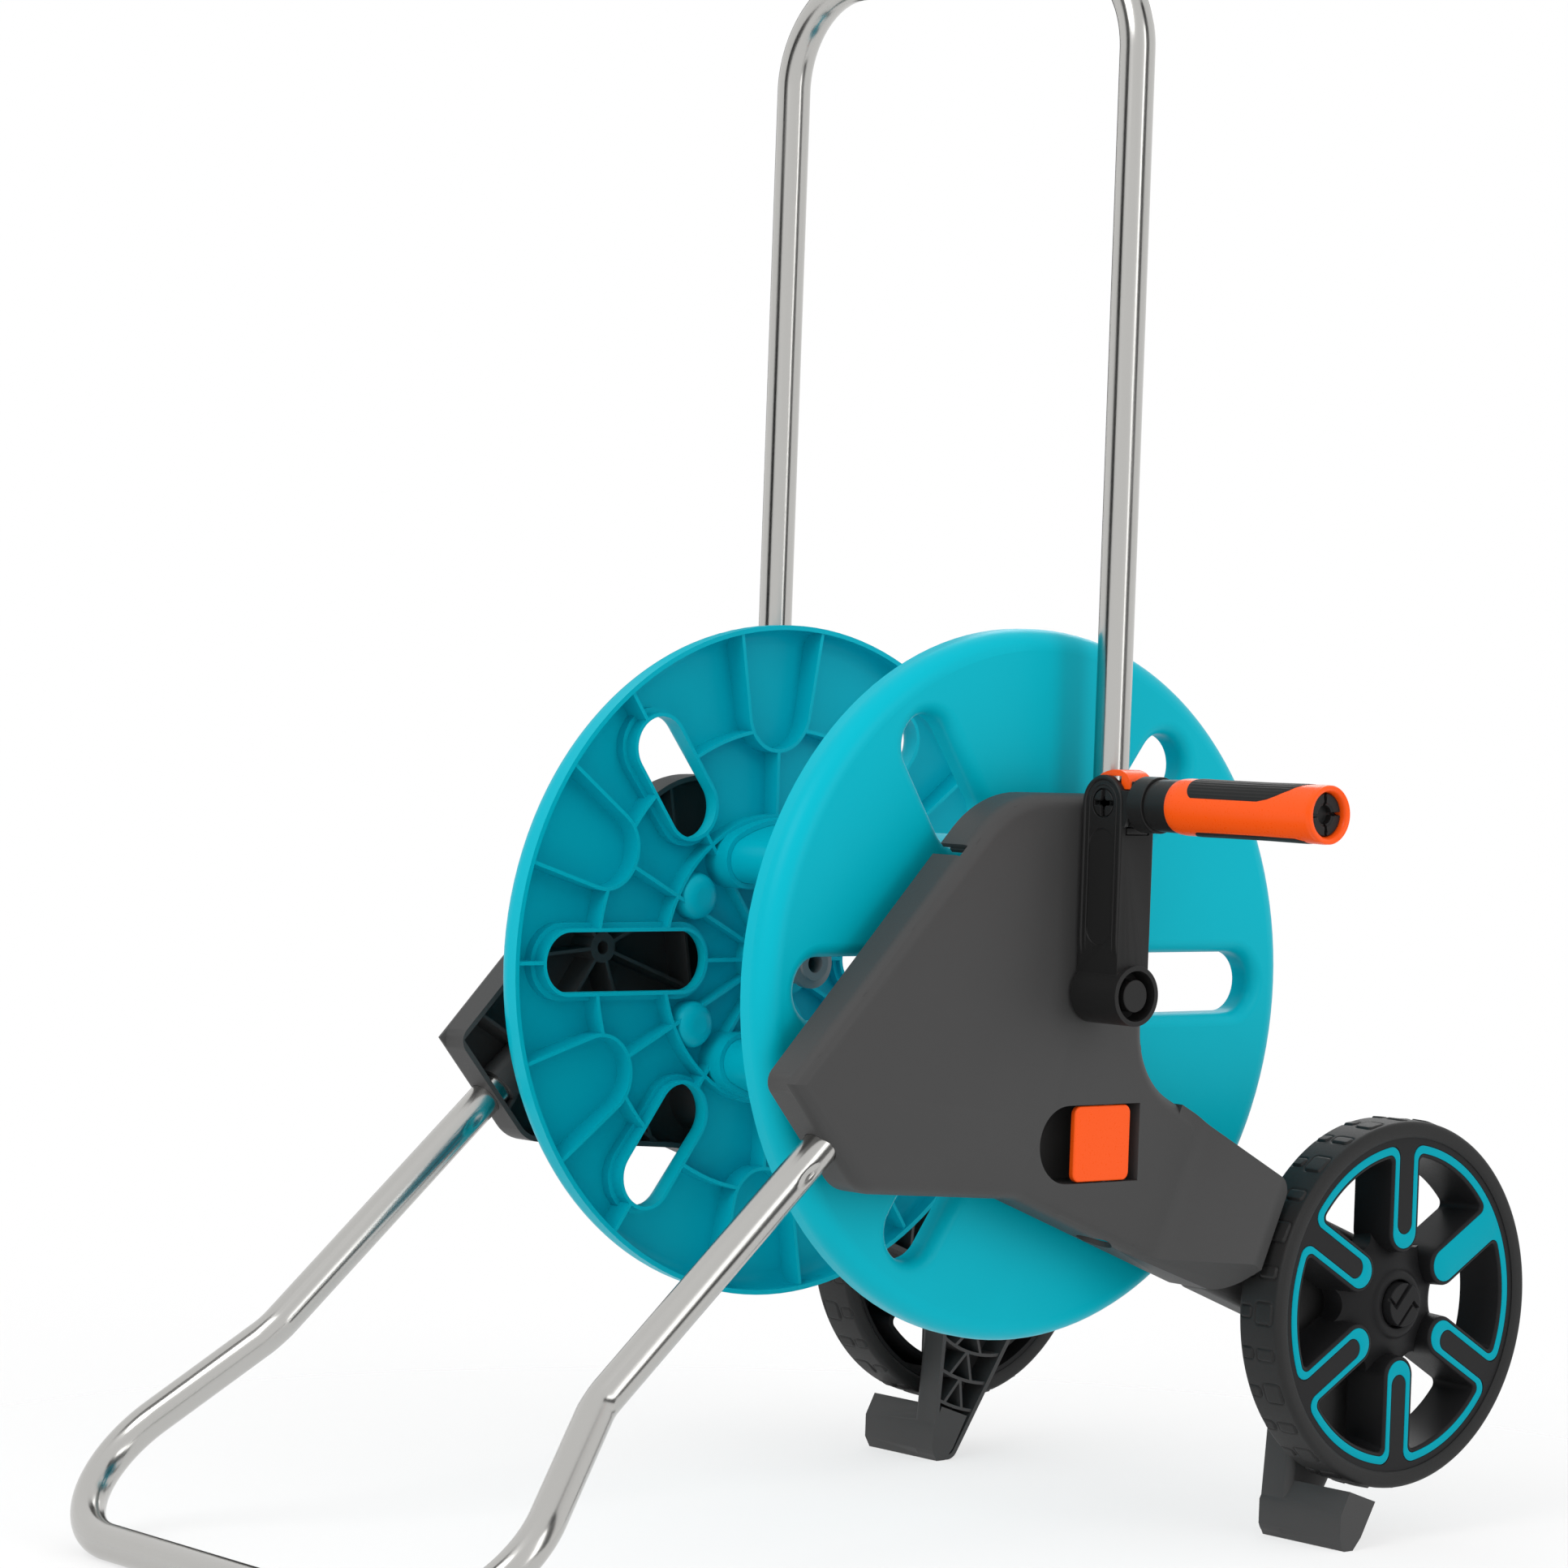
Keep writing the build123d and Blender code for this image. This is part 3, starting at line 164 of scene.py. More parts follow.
# orange ABS from a polished mould: the smoothest and brightest of the plastics
orange_abs = moulded("orange_abs", "#FF5A10", "#F8520C", 0.3, 1.2, 0.006, shine=0.2, ior=1.53)
# moulded tyre rubber: black and dull, with a soft grey light on its pads
tyre_rubber = moulded("tyre_rubber", "#1F1F1F", "#1A1A1A", 0.55, 0.8, 0.05, shine=0.3)
# soft seal and grip rubber: a flat black with little shine
seal_rubber = moulded("seal_rubber", "#232323", "#1E1E1E", 0.5, 0.5, 0.02, shine=0.15)
# grey acetal of the water fittings: smooth and a little waxy
grey_acetal = moulded("grey_acetal", "#6F7375", "#666A6C", 0.35, 0.8, 0.02)
# undyed acetal of the bearing bushes: ivory and a little waxy
bush_acetal = moulded("bush_acetal", "#D9D6CC", "#CFCCC2", 0.35, 0.8, 0.02)
# drawn aluminium tube: bright, its reflections drawn out along it; the draw lines are coarsened to show
tube_aluminium = metal("tube_aluminium", "#B9B8B5", 0.2, 2.5, (0.012, 1.0, 1.0), along_piece=True)
# zinc-plated steel of axles and screw: a bluish grey, between dull and bright
zinc_steel = metal("zinc_steel", "#B9BCC0", 0.3, 1.0, (0.1, 1.0, 1.0))

finishes = {
    drum_polypropylene: ("drum_flange_right", "drum_flange_left", "drum_core_upper", "drum_core_lower",
                         "wheel_inlay_right", "wheel_inlay_left"),
    panel_polypropylene: ("side_panel_right", "side_panel_left"),
    rim_polypropylene: ("wheel_rim_right", "wheel_rim_left", "wheel_cap_right", "wheel_cap_left"),
    black_nylon: ("crank_arm", "crank_cap", "hinge_pin", "crank_neck",
                  "grip_core", "grip_clip", "handle_plugs"),
    orange_abs: ("latch_right", "latch_left", "release_button", "grip_sleeve"),
    tyre_rubber: ("wheel_tyre_right", "wheel_tyre_left"),
    seal_rubber: ("spindle_seals", "grip_pads"),
    grey_acetal: ("hose_nipple", "inlet_elbow", "drum_spindle_left", "drum_axle_right"),
    bush_acetal: ("bearing_bush_right", "bearing_bush_left"),
    tube_aluminium: ("stand_tube", "handle_tube"),
    zinc_steel: ("crank_screw", "wheel_axle_right", "wheel_axle_left"),
}
for finish, names in finishes.items():
    for name in names:
        piece = parts[name]
        piece.data.materials.clear()
        piece.data.materials.append(finish)


# ---------------------------------------------------------------- places
sides = (("right", 1), ("left", -1))
arm_faces = (("front", -1), ("rear", 1))
body_of_node = {
    node: body for body, nodes in frame["record"]["behaviour"]["bodies"].items() for node in nodes}


def node_box(*names):
    """Lowest and highest corners of some CAD nodes together."""
    boxes = np.array([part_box(name) for name in names]) * 1000
    return boxes[:, 0].min(axis=0), boxes[:, 1].max(axis=0)


def node_middle(*names):
    """Middle of the box of some CAD nodes."""
    lowest, highest = node_box(*names)
    return (lowest + highest) / 2


reel = node_middle("drum_flange_right", "drum_flange_left")
axle = node_middle("wheel_tyre_right")
hinge = node_middle("hinge_pin")


def about(centre, hand, station, across, above):
    """Points from stations, which run out of the reel's middle plane to a hand, and places about a line along
    X through a centre: p = (reel + hand * station, centre + across, centre + above)."""
    station, across, above = np.broadcast_arrays(station, across, above)
    return np.stack([reel[0] + hand * station, centre[1] + across, centre[2] + above], -1)


def beside_arm(hand, out, across, above):
    """Points from distances out of the crank arm's middle plane to a hand, and places about its hinge."""
    out, across, above = np.broadcast_arrays(out, across, above)
    return np.stack([hinge[0] + across, hinge[1] + hand * out, hinge[2] + above], -1)


# ---------------------------------------------------------------- surfaces
weld = 2e-6  # metres: points closer than this are one
circle = 2 * np.pi


def ease(value):
    """Smooth step from 0 to 1: 3v^2 - 2v^3, with v held between them."""
    value = np.clip(value, 0, 1)
    return value * value * (3 - 2 * value)


def all_round(turns):
    """Evenly spaced angles of a full circle, the last one short of the first."""
    return np.linspace(0, circle, turns, endpoint=False)


def grid_faces(rows, columns, close_rows=False, close_columns=False):
    """Quads of a grid of points: each point is joined to the next along both parameters, and the last one to
    the first where that parameter is closed."""
    row, column = np.meshgrid(
        np.arange(rows if close_rows else rows - 1),
        np.arange(columns if close_columns else columns - 1),
        indexing="ij")
    next_row, next_column = (row + 1) % rows, (column + 1) % columns
    corners = [row * columns + column, next_row * columns + column,
               next_row * columns + next_column, row * columns + next_column]
    return np.stack(corners, -1).reshape(-1, 4)


def mesh_of(name, points, faces):
    """A mesh from an array of points in metres, and faces that are rows or lists of point numbers."""
    mesh = bpy.data.meshes.new(name)
    faces = faces if isinstance(faces, list) else faces.tolist()
    mesh.from_pydata(points.reshape(-1, 3).tolist(), [], faces)
    return mesh


def closed(mesh, merge=True):
    """Turns a mesh's faces outwards, after its seams and poles are merged where that is asked."""
    shell = bmesh.new()
    shell.from_mesh(mesh)
    if merge:
        bmesh.ops.remove_doubles(shell, verts=shell.verts, dist=weld)
    bmesh.ops.recalc_face_normals(shell, faces=shell.faces)
    shell.to_mesh(mesh)
    shell.free()
    return mesh


def settle(name, mesh, stands_for, finish, body=None, crease=35.0):
    """Links a mesh as a piece with its finish, smooth but for edges sharper than the crease angle, ties it
    to its CAD body and hides the nodes it replaces."""
    mesh.materials.clear()
    mesh.materials.append(finish)
    mesh.shade_smooth()
    mesh.set_sharp_from_angle(angle=radians(crease))
    piece = bpy.data.objects.new(name, mesh)
    bpy.context.collection.objects.link(piece)
    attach(piece, body or body_of_node[stands_for[0]])
    if stands_for:
        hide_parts(*stands_for)
    return piece


def piece_from(name, points, faces, stands_for, finish, body=None):
    """A closed piece from points in millimetres. It rides with the CAD nodes that it stands for, or with a
    body where it stands for none."""
    return settle(name, closed(mesh_of(name, points / 1000, faces)), stands_for, finish, body)


def rounded(piece, width_mm, steps, angle):
    """Rounds a piece's edges that are sharper than an angle, with a bevel of a given width."""
    bevel = piece.modifiers.new("rounded_edges", "BEVEL")
    bevel.width = width_mm / 1000
    bevel.segments = steps
    bevel.limit_method = "ANGLE"
    bevel.angle_limit = radians(angle)
    bevel.harden_normals = True
    return piece


def softened(node, finish, width_mm, taller=1.0, nose_mm=0.0):
    """The CAD piece with its edges rounded, as a mould's are: its copy, merged, with a bevel. The copy may be
    stretched in height about its middle, z' = m + taller * (z - m), and the edges that run across its front
    may be rounded further, to a nose of a given radius."""
    # in metres, how near to the front such an edge lies, and how long it is at least
    flush, shortest = 0.0006, 0.003
    mesh = parts[node].data.copy()
    copy = bmesh.new()
    copy.from_mesh(mesh)
    bmesh.ops.remove_doubles(copy, verts=copy.verts, dist=weld)
    if taller != 1.0:
        to_middle = Matrix.Translation((0, 0, -node_middle(node)[2] / 1000))
        bmesh.ops.scale(copy, vec=(1, 1, taller), space=to_middle, verts=copy.verts)
    bmesh.ops.dissolve_limit(copy, angle_limit=radians(1.0), verts=copy.verts, edges=copy.edges)
    if nose_mm:
        front = node_box(node)[0][1] / 1000
        nose = [edge for edge in copy.edges
                if max(end.co.y for end in edge.verts) < front + flush
                and abs(edge.verts[0].co.x - edge.verts[1].co.x) > shortest]
        bmesh.ops.bevel(copy, geom=nose, offset=nose_mm / 1000, offset_type="OFFSET", segments=6,
                        profile=0.5, affect="EDGES", clamp_overlap=True)
    copy.to_mesh(mesh)
    copy.free()
    mesh.update()
    return rounded(settle(node + "_moulding", mesh, (node,), finish), width_mm, 2, 30.0)


# ---------------------------------------------------------------- wheels
# stations run out of the reel's middle plane, and depths run back from the spokes' face
spokes = 6
half_sector = np.pi / spokes
wheel_low, wheel_high = node_box("wheel_tyre_right")
wheel_back, wheel_front = wheel_low[0] - reel[0], wheel_high[0] - reel[0]
spoke_front = wheel_front - 2.0
spoke_depth = 27.4
rim_outer = 97.0
# how far from the axle the fingers' round ends have their centres: beside the windows, and inside the line
window_end, middle_end = 42.2, 47.0


def window_loop(outer, half, centre, bend, filled=False):
    """The line that runs round the wheel's six windows, in the wheel's plane: arcs of radius outer, and along
    each spoke a finger of half width half, whose round end has a given centre. Fillets of radius bend join
    arc and finger, at r = sqrt((outer - bend)^2 - (half + bend)^2). Where it is filled, the second spoke's
    finger closes up to a slit. Each part of every line has the same count of points."""
    sectors = []
    for number in range(spokes):
        slit = filled and number == 1
        side, turn = (0.0, 0.0) if slit else (half, bend)
        join = np.sqrt((outer - turn) ** 2 - (side + turn) ** 2)
        corner = np.arctan2(side + turn, join)
        arc = np.linspace(half_sector, corner, 14)[:-1]
        fillet = np.linspace(corner, -np.pi / 2, 9)[:-1]
        straight = np.linspace(join, centre, 14)[:-1]
        end = np.linspace(np.pi / 2, np.pi, 13)
        along = np.concatenate([
            outer * np.cos(arc), join + turn * np.cos(fillet), straight, centre + side * np.cos(end)])
        across = np.concatenate([
            outer * np.sin(arc), side + turn + turn * np.sin(fillet),
            np.full(len(straight), side), side * np.sin(end)])
        along = np.concatenate([along, along[-2:0:-1]])
        across = np.concatenate([across, -across[-2:0:-1]])
        lean = np.pi / 2 - number * 2 * half_sector
        sectors.append(np.stack([along * np.cos(lean) - across * np.sin(lean),
                                 along * np.sin(lean) + across * np.cos(lean)], -1))
    return np.concatenate(sectors)


def window_band(rows, filled_rows, hand):
    """Rows of window loops, each given as (outer, half, centre, bend, depth)."""
    band = []
    for number, (outer, half, centre, bend, depth) in enumerate(rows):
        line = window_loop(outer, half, centre, bend, number in filled_rows)
        band.append(about(axle, hand, spoke_front - depth, line[:, 0], line[:, 1]))
    return np.stack(band)


def slit_free(band, faces, edge_rows, outer, sector=None):
    """Leaves out the faces between two edge rows along the slits, where two spoke halves are one solid."""
    count = band.shape[1]
    line = band[edge_rows[0]]
    on_slit = np.hypot(line[:, 1] - axle[1], line[:, 2] - axle[2]) < outer - 0.05
    rows, columns = faces // count, faces % count
    between = np.isin(rows, edge_rows).all(axis=1)
    inside = on_slit[columns].any(axis=1)
    if sector is not None:
        inside &= (columns // (count // spokes) == sector).any(axis=1)
    return faces[~(between & inside)]


def revolved(profile, turns, hand=1, centre=axle):
    """A closed profile of (radius, station), carried round a line along X."""
    radius, station = np.array(profile, float).T
    angle = all_round(turns)
    points = about(centre, hand, station, np.outer(np.cos(angle), radius), np.outer(np.sin(angle), radius))
    return points, grid_faces(turns, len(radius), True, True)


def rounded_box(along, across, half_along, half_across, corner):
    """Signed distance to a rectangle with rounded corners: how far a point lies past the middles of the
    corner arcs, less their radius, and so negative inside."""
    a = np.abs(along) - half_along + corner
    b = np.abs(across) - half_across + corner
    return np.hypot(np.maximum(a, 0), np.maximum(b, 0)) + np.minimum(np.maximum(a, b), 0) - corner


def tyre(hand):
    """Radius as a function of the turn and of the place across the tread: a slightly domed tread with rounded
    shoulders, and two rows of pads, each a ramp that rises to a step inside a fine moulded groove."""
    turns, pads = 1120, 28
    tread_radius, dome_height, bend, highest = 106.6, 0.4, 3.2, 107.95
    pad_radius, pad_height, pad_corner, ramp_foot = 107, 0.85, 2.2, 0.35
    groove_depth, groove_place, groove_width = 0.5, 0.3, 0.42
    # down the shoulders the pads fade out, from one radius to the other
    fade_start, fade = 104.5, 1.5
    # of each row: its station, half its pads' width, and half the lengths of its long and short pads
    pad_rows = ((wheel_back + 20.2, 6.2, 6.2, 3.6), (wheel_back + 6.4, 4.4, 3.4, 3.4))

    wall = [(rim_outer, 1.5), (97.8, 0.6), (99.5, 0.1), (102.0, 0.0)]
    back_wall = [(r, wheel_back + x) for r, x in wall]
    front_wall = [(r, wheel_front - x) for r, x in reversed(wall)]
    quarter = np.linspace(0, np.pi / 2, 7)[:-1]
    rise, inset = tread_radius - bend + bend * np.sin(quarter), bend - bend * np.cos(quarter)
    back_bend = list(zip(rise, wheel_back + inset))
    front_bend = list(zip(rise, wheel_front - inset))[::-1]
    tread = np.linspace(wheel_back + bend, wheel_front - bend, 46)
    off_middle = (tread - tread.mean()) / (tread[-1] - tread.mean())
    dome = list(zip(tread_radius + dome_height * (1 - off_middle**2), tread))
    radius, station = np.array(back_wall + back_bend + dome + front_bend + front_wall).T

    angle = all_round(turns)
    pitch = circle / pads
    number = np.round(angle / pitch)
    along = ((angle - number * pitch) * pad_radius)[:, None]
    lift = np.zeros((turns, len(radius)))
    for middle, half_across, long, short in pad_rows:
        half_along = np.where(number % 2 == 0, long, short)[:, None]
        distance = rounded_box(along, station[None, :] - middle, half_along, half_across, pad_corner)
        ramp = ramp_foot + (1 - ramp_foot) * ease((along + half_along) / (2 * half_along))
        groove = np.exp(-((distance - groove_place) / groove_width) ** 2)
        lift += pad_height * ramp * ease(-distance) - groove_depth * groove
    lift *= ease((radius[None, :] - fade_start) / fade)
    radius = radius + np.minimum(lift, highest - radius[None, :])
    points = about(axle, hand, station, np.cos(angle)[:, None] * radius, np.sin(angle)[:, None] * radius)
    return points, grid_faces(turns, len(station), True, True)


def height_disc(outer, height, rings, turns, wall, corner):
    """A round button: the height of its face over its plane is a function of place, its edge turns down round
    a corner, and a wall runs down to a flat underside. Gives (up, across, above) and the faces."""
    turn_down = np.linspace(0.3, np.pi / 2, 4)
    reach = np.concatenate([
        np.linspace(0, outer - corner, rings), outer - corner + corner * np.sin(turn_down)])
    drop = np.concatenate([np.zeros(rings), corner * (1 - np.cos(turn_down))])
    angle = all_round(turns)
    across, above = np.outer(reach, np.cos(angle)), np.outer(reach, np.sin(angle))
    up = height(across, above) - drop[:, None]
    foot = np.full(turns, -wall)
    across = np.vstack([across, across[-1], np.zeros(turns)])
    above = np.vstack([above, above[-1], np.zeros(turns)])
    up = np.vstack([up, foot, foot])
    return (up, across, above), grid_faces(len(up), turns, False, True)


def cap_height(across, above):
    """The cap's two hooks: an L-shaped groove on each side bounds a block that lies a little lower."""
    lean, groove_depth, block_depth = radians(47), 2.4, 0.7
    along = across * np.cos(lean) + above * np.sin(lean)
    over = -across * np.sin(lean) + above * np.cos(lean)
    along, over = np.where(over > 0, along, -along), np.abs(over)
    into_block = np.minimum(over - 4.2, along + 6.2)
    groove = ease((into_block + 0.5) / 0.35) * ease((1.9 - into_block) / 0.5)
    block = ease((into_block - 1.4) / 0.5)
    return -groove_depth * groove - block_depth * block


def hub_dish(side, hand):
    """The hub between the spokes: a ring round the cap, then a dish whose edge is the windows' rounded inner
    corner, r = c cos d - sqrt(p^2 - c^2 sin^2 d) about each window's middle, running on into the spokes."""
    turns = 288
    half_spoke, corner, longest = 12.6, 12.0, 58.0
    bore, ring, hub_depth = 6.1, 22.6, 27.6
    rim_low, rim_high = node_box("wheel_rim_" + side)
    back = rim_low[0] - reel[0] if hand > 0 else reel[0] - rim_high[0]

    def even(profile):
        """Radius and depth, each the same all round, of a profile's points."""
        return [np.broadcast_to(column, (turns, len(profile))) for column in np.array(profile).T]

    centre = 2 * (half_spoke + corner)
    angle = all_round(turns)
    off = np.abs((angle + half_sector) % (2 * half_sector) - half_sector)
    bend_end = np.arctan2(corner * np.cos(half_sector), centre - corner * np.sin(half_sector))
    bend = centre * np.cos(off) - np.sqrt(np.maximum(corner**2 - (centre * np.sin(off)) ** 2, 0))
    straight = half_spoke / np.maximum(np.sin(half_sector - off), 0.05)
    edge = np.minimum(np.where(off < bend_end, bend, straight), longest)

    foot_radius, foot_depth = even([
        (bore, back - spoke_front), (16.0, back - spoke_front), (18.0, -hub_depth)])
    wall_radius = edge[:, None] - [1.0, 0.4]
    wall_depth = np.broadcast_to([-hub_depth, 1.0 - hub_depth], wall_radius.shape)
    share = np.array([1.0, 0.96, 0.86, 0.7, 0.5, 0.3, 0.12, 0.0])
    dish_radius = ring + np.outer(edge - ring, share)
    dish_depth = -(5.5 + 0.42 * (dish_radius - ring) + 0.9 * ease(share * 4 - 3))
    collar_radius, collar_depth = even([
        (21.0, -5.0), (19.9, -3.9), (19.0, -2.6), (18.0, -2.1), (15.2, -2.0), (14.4, -2.5), (14.1, -3.4),
        (14.0, -9.0), (bore, -9.0)])
    radius = np.hstack([foot_radius, wall_radius, dish_radius, collar_radius])
    depth = np.hstack([foot_depth, wall_depth, dish_depth, collar_depth])
    points = about(axle, hand, spoke_front + depth,
                   radius * np.cos(angle)[:, None], radius * np.sin(angle)[:, None])
    return points, grid_faces(turns, radius.shape[1], True, True)


def spoke_face(hand):
    """The wheel's rim and spokes: their plain middle, a groove for the inlaid line, a border with a lip
    rounded as an arc, then the windows' wall to the wheel's back and up again behind the face."""
    lip = 1.7
    face = [(rim_outer, 0.0, middle_end, 0.0, 0.0), (93.4, 5.8, middle_end, 6.6, 0.0),
            (93.3, 5.9, middle_end, 6.6, 0.5), (88.2, 9.9, window_end, 4.3, 0.5),
            (88.1, 10.0, window_end, 4.2, 0.0), (87.8, 10.3, window_end, 4.0, 0.0)]
    edge = [(87.8 - lip * np.sin(t), 10.3 + lip * np.sin(t), window_end, 4.0 - 1.2 * np.sin(t),
             lip * (1 - np.cos(t))) for t in np.linspace(0.26, np.pi / 2, 6)]
    wall = [(85.4, 12.3, window_end, 2.8, 6.0), (82.4, 13.6, window_end, 4.0, spoke_depth),
            (85.2, 10.8, window_end, 4.6, spoke_depth), (88.8, 9.3, window_end, 4.2, 3.0),
            (rim_outer, 0.0, middle_end, 0.0, 3.0)]
    rows = face + edge + wall
    band = window_band(rows, (1, 2), hand)
    faces = grid_faces(len(rows), band.shape[1], True, True)
    return band, slit_free(band, faces, (0, len(rows) - 1), rim_outer)


def rim_barrel(hand):
    """The rim's barrel under the tyre, revolved: its back edge stands out a little next to the tyre."""
    inner, back, front = 94.0, wheel_back + 2, spoke_front - 2.8
    profile = [(inner, back), (rim_outer - 0.4, wheel_back + 1.5), (rim_outer, back),
               (rim_outer, front), (inner, front)]
    return revolved(profile, 180, hand)


def inlaid_line(hand):
    """The coloured line in the groove round the windows: it stands a little proud, with broken edges."""
    line_outer = 93.0
    rows = [(line_outer, 6.2, middle_end, 7.0, 0.45), (line_outer, 6.2, middle_end, 7.0, 0.0),
            (92.75, 6.45, middle_end, 7.0, -0.12), (88.75, 9.35, window_end, 4.5, -0.12),
            (88.5, 9.6, window_end, 4.5, 0.0), (88.5, 9.6, window_end, 4.5, 0.45)]
    band = window_band(rows, (0, 1, 2), hand)
    faces = grid_faces(len(rows), band.shape[1], True, True)
    return band, slit_free(band, faces, (0, 1), line_outer, sector=1)


def hub_cap(hand):
    """The cap on the hub's middle, a button with two hooks in its face."""
    (up, across, above), faces = height_disc(12.7, cap_height, 66, 168, 8.0, 0.6)
    return about(axle, hand, spoke_front + 2.8 + up, across, above), faces


for side, hand in sides:
    rim = ("wheel_rim_" + side,)
    piece_from("wheel_spokes_" + side, *spoke_face(hand), rim, rim_polypropylene)
    piece_from("wheel_barrel_" + side, *rim_barrel(hand), rim, rim_polypropylene)
    piece_from("wheel_hub_" + side, *hub_dish(side, hand), rim, rim_polypropylene)
    piece_from("wheel_line_" + side, *inlaid_line(hand), ("wheel_inlay_" + side,), inlay_polypropylene)
    piece_from("wheel_tread_" + side, *tyre(hand), ("wheel_tyre_" + side,), tyre_rubber)
    piece_from("wheel_hub_cap_" + side, *hub_cap(hand), ("wheel_cap_" + side,), rim_polypropylene)


# ---------------------------------------------------------------- tubes
tube_low, tube_high = node_box("handle_tube")
tube_r, tube_wall = (tube_high[1] - tube_low[1]) / 2, 1.5


def travelled(line):
    """How far along a line each of its points lies: the sum of the steps up to it."""
    return np.concatenate([[0], np.cumsum(np.linalg.norm(np.diff(line, axis=0), axis=1))])


def directions(line):
    """Unit vectors along a line at each of its points, from the point before to the point after."""
    step = np.vstack([line[1] - line[0], line[2:] - line[:-2], line[-1] - line[-2]])
    return step / np.linalg.norm(step, axis=1)[:, None]


def straight_run(here, there):
    """Points from here, left out, to there, evenly spaced and no more than 3 mm apart."""
    count = int(np.ceil(np.linalg.norm(there - here) / 3.0))
    return here + np.linspace(0, 1, count + 1)[1:, None] * (there - here)


def bent_line(corners, bends):
    """A line through corners with a circular arc of a given radius at each inner one: its points, and at each
    point how far it lies inside a bend, sin^2 of its share of the turn."""
    corners = np.array(corners, float)
    points, bending = [corners[0][None]], [np.zeros(1)]
    for before, corner, after, radius in zip(corners, corners[1:], corners[2:], bends):
        into, out = corner - before, after - corner
        into, out = into / np.linalg.norm(into), out / np.linalg.norm(out)
        turn = np.arccos(np.clip(into @ out, -1, 1))
        inward = out - into
        centre = corner + inward / np.linalg.norm(inward) * radius / np.cos(turn / 2)
        begin = corner - into * radius * np.tan(turn / 2)
        run = straight_run(points[-1][-1], begin)
        sweep = np.linspace(0, turn, int(np.ceil(radius * turn / 1.5)) + 1)[1:, None]
        arc = centre + (begin - centre) * np.cos(sweep) + into * radius * np.sin(sweep)
        points += [run, arc]
        bending += [np.zeros(len(run)), np.sin(np.pi * sweep[:, 0] / turn) ** 2]
    run = straight_run(points[-1][-1], corners[-1])
    return np.vstack(points + [run]), np.concatenate(bending + [np.zeros(len(run))])


def tube(name, node, corners, bends, normal, dents=()):
    """A hollow tube carried along a bent line that lies in one plane. Its section is a circle, drawn in by a
    twentieth across each bend, and pressed in by dents d (1 - (s/a)^2 - (t/b)^2)^0.6 where that is positive,
    with s along the tube and t round it. Its UV map holds s and t in metres."""
    turns, flattening = 56, 0.05
    line, bending = bent_line(corners, bends)
    normal = np.array(normal, float)
    aside = np.cross(normal, directions(line))
    distance = travelled(line)
    angle = all_round(turns)
    reach = np.full((len(line), turns), float(tube_r))
    for place, facing, length, width, depth in dents:
        along = (distance - place)[:, None] / (length / 2)
        around = ((angle - facing + np.pi) % circle - np.pi)[None, :] * tube_r / (width / 2)
        reach -= depth * np.clip(1 - along**2 - around**2, 0, 1) ** 0.6
    squeeze = 1 - flattening * bending[:, None, None]
    across = np.cos(angle)[None, :, None] * aside[:, None, :] * squeeze
    up = np.sin(angle)[None, :, None] * normal[None, None, :]
    skin = line[:, None, :] + reach[..., None] * (across + up)
    bore = line[:, None, :] + (tube_r - tube_wall) * (across + up)
    bore_rows = np.unique(np.append(np.arange(0, len(line), 4), len(line) - 1))[::-1]
    grid = np.concatenate([skin, bore[bore_rows]])
    faces = grid_faces(len(grid), turns, True, True)
    mesh = mesh_of(name, grid / 1000, faces)
    # where a face closes the circle, its last corners are one turn on, so that the map doesn't run back
    column = faces % turns
    wraps = column.max(axis=1) - column.min(axis=1) > 1
    column = np.where(wraps[:, None] & (column == 0), turns, column)
    along = np.concatenate([distance, distance[bore_rows]])[faces // turns] / 1000
    around = column * circle * tube_r / turns / 1000
    draw_lines = np.stack([along, around], -1).astype(np.float32)
    mesh.uv_layers.new(name="along_tube").uv.foreach_set("vector", draw_lines.ravel())
    return settle(name, closed(mesh, merge=False), (node,), tube_aluminium, crease=50.0)


handle_bend = 60.0
handle_half = (tube_high[0] - tube_low[0]) / 2 - tube_r
handle_y = (tube_high[1] + tube_low[1]) / 2
handle_foot, handle_top = tube_low[2], tube_high[2] - tube_r
handle_corners = [(reel[0] + x, handle_y, z) for x, z in (
    (-handle_half, handle_foot), (-handle_half, handle_top),
    (handle_half, handle_top), (handle_half, handle_foot))]
tube("push_handle", "handle_tube", handle_corners, (handle_bend, handle_bend), (0, 1, 0))

# the stand lies in a sloping plane; distances run down the slope from the upper end of its legs
leg_half, leg_start, leg_end, splay = 147.6, 5.0, 262.8, radians(23.4)
knee_bend, foot_bend = 40.0, 60.0
stand_bends = (knee_bend, foot_bend, foot_bend, knee_bend)
leg_top = np.array([reel[0], reel[1] - 128.0, reel[2] - 33.7])
foot_middle = np.array([reel[0], node_box("stand_tube")[0][1] + tube_r, tube_r])
slope = np.linalg.norm(foot_middle - leg_top)
down = (foot_middle - leg_top) / slope
sideways = np.array([1.0, 0, 0])
foot_half = leg_half + (slope - leg_end) * np.tan(splay)
left_leg = [(-leg_half, leg_start), (-leg_half, leg_end), (-foot_half, slope)]
right_leg = [(-x, s) for x, s in reversed(left_leg)]
stand_corners = [leg_top + x * sideways + s * down for x, s in left_leg + right_leg]
# each leg has a dent on both sides near its upper end: its place along the tube and round it, then its
# length, width and depth
dent_place = 87.0
stand_length = travelled(bent_line(stand_corners, stand_bends)[0])[-1]
dents = [(place, facing, 15.0, 6.0, 1.5)
         for place in (dent_place, stand_length - dent_place) for facing in (0.0, np.pi)]
tube("stand_frame", "stand_tube", stand_corners, stand_bends, np.cross(sideways, down), dents)


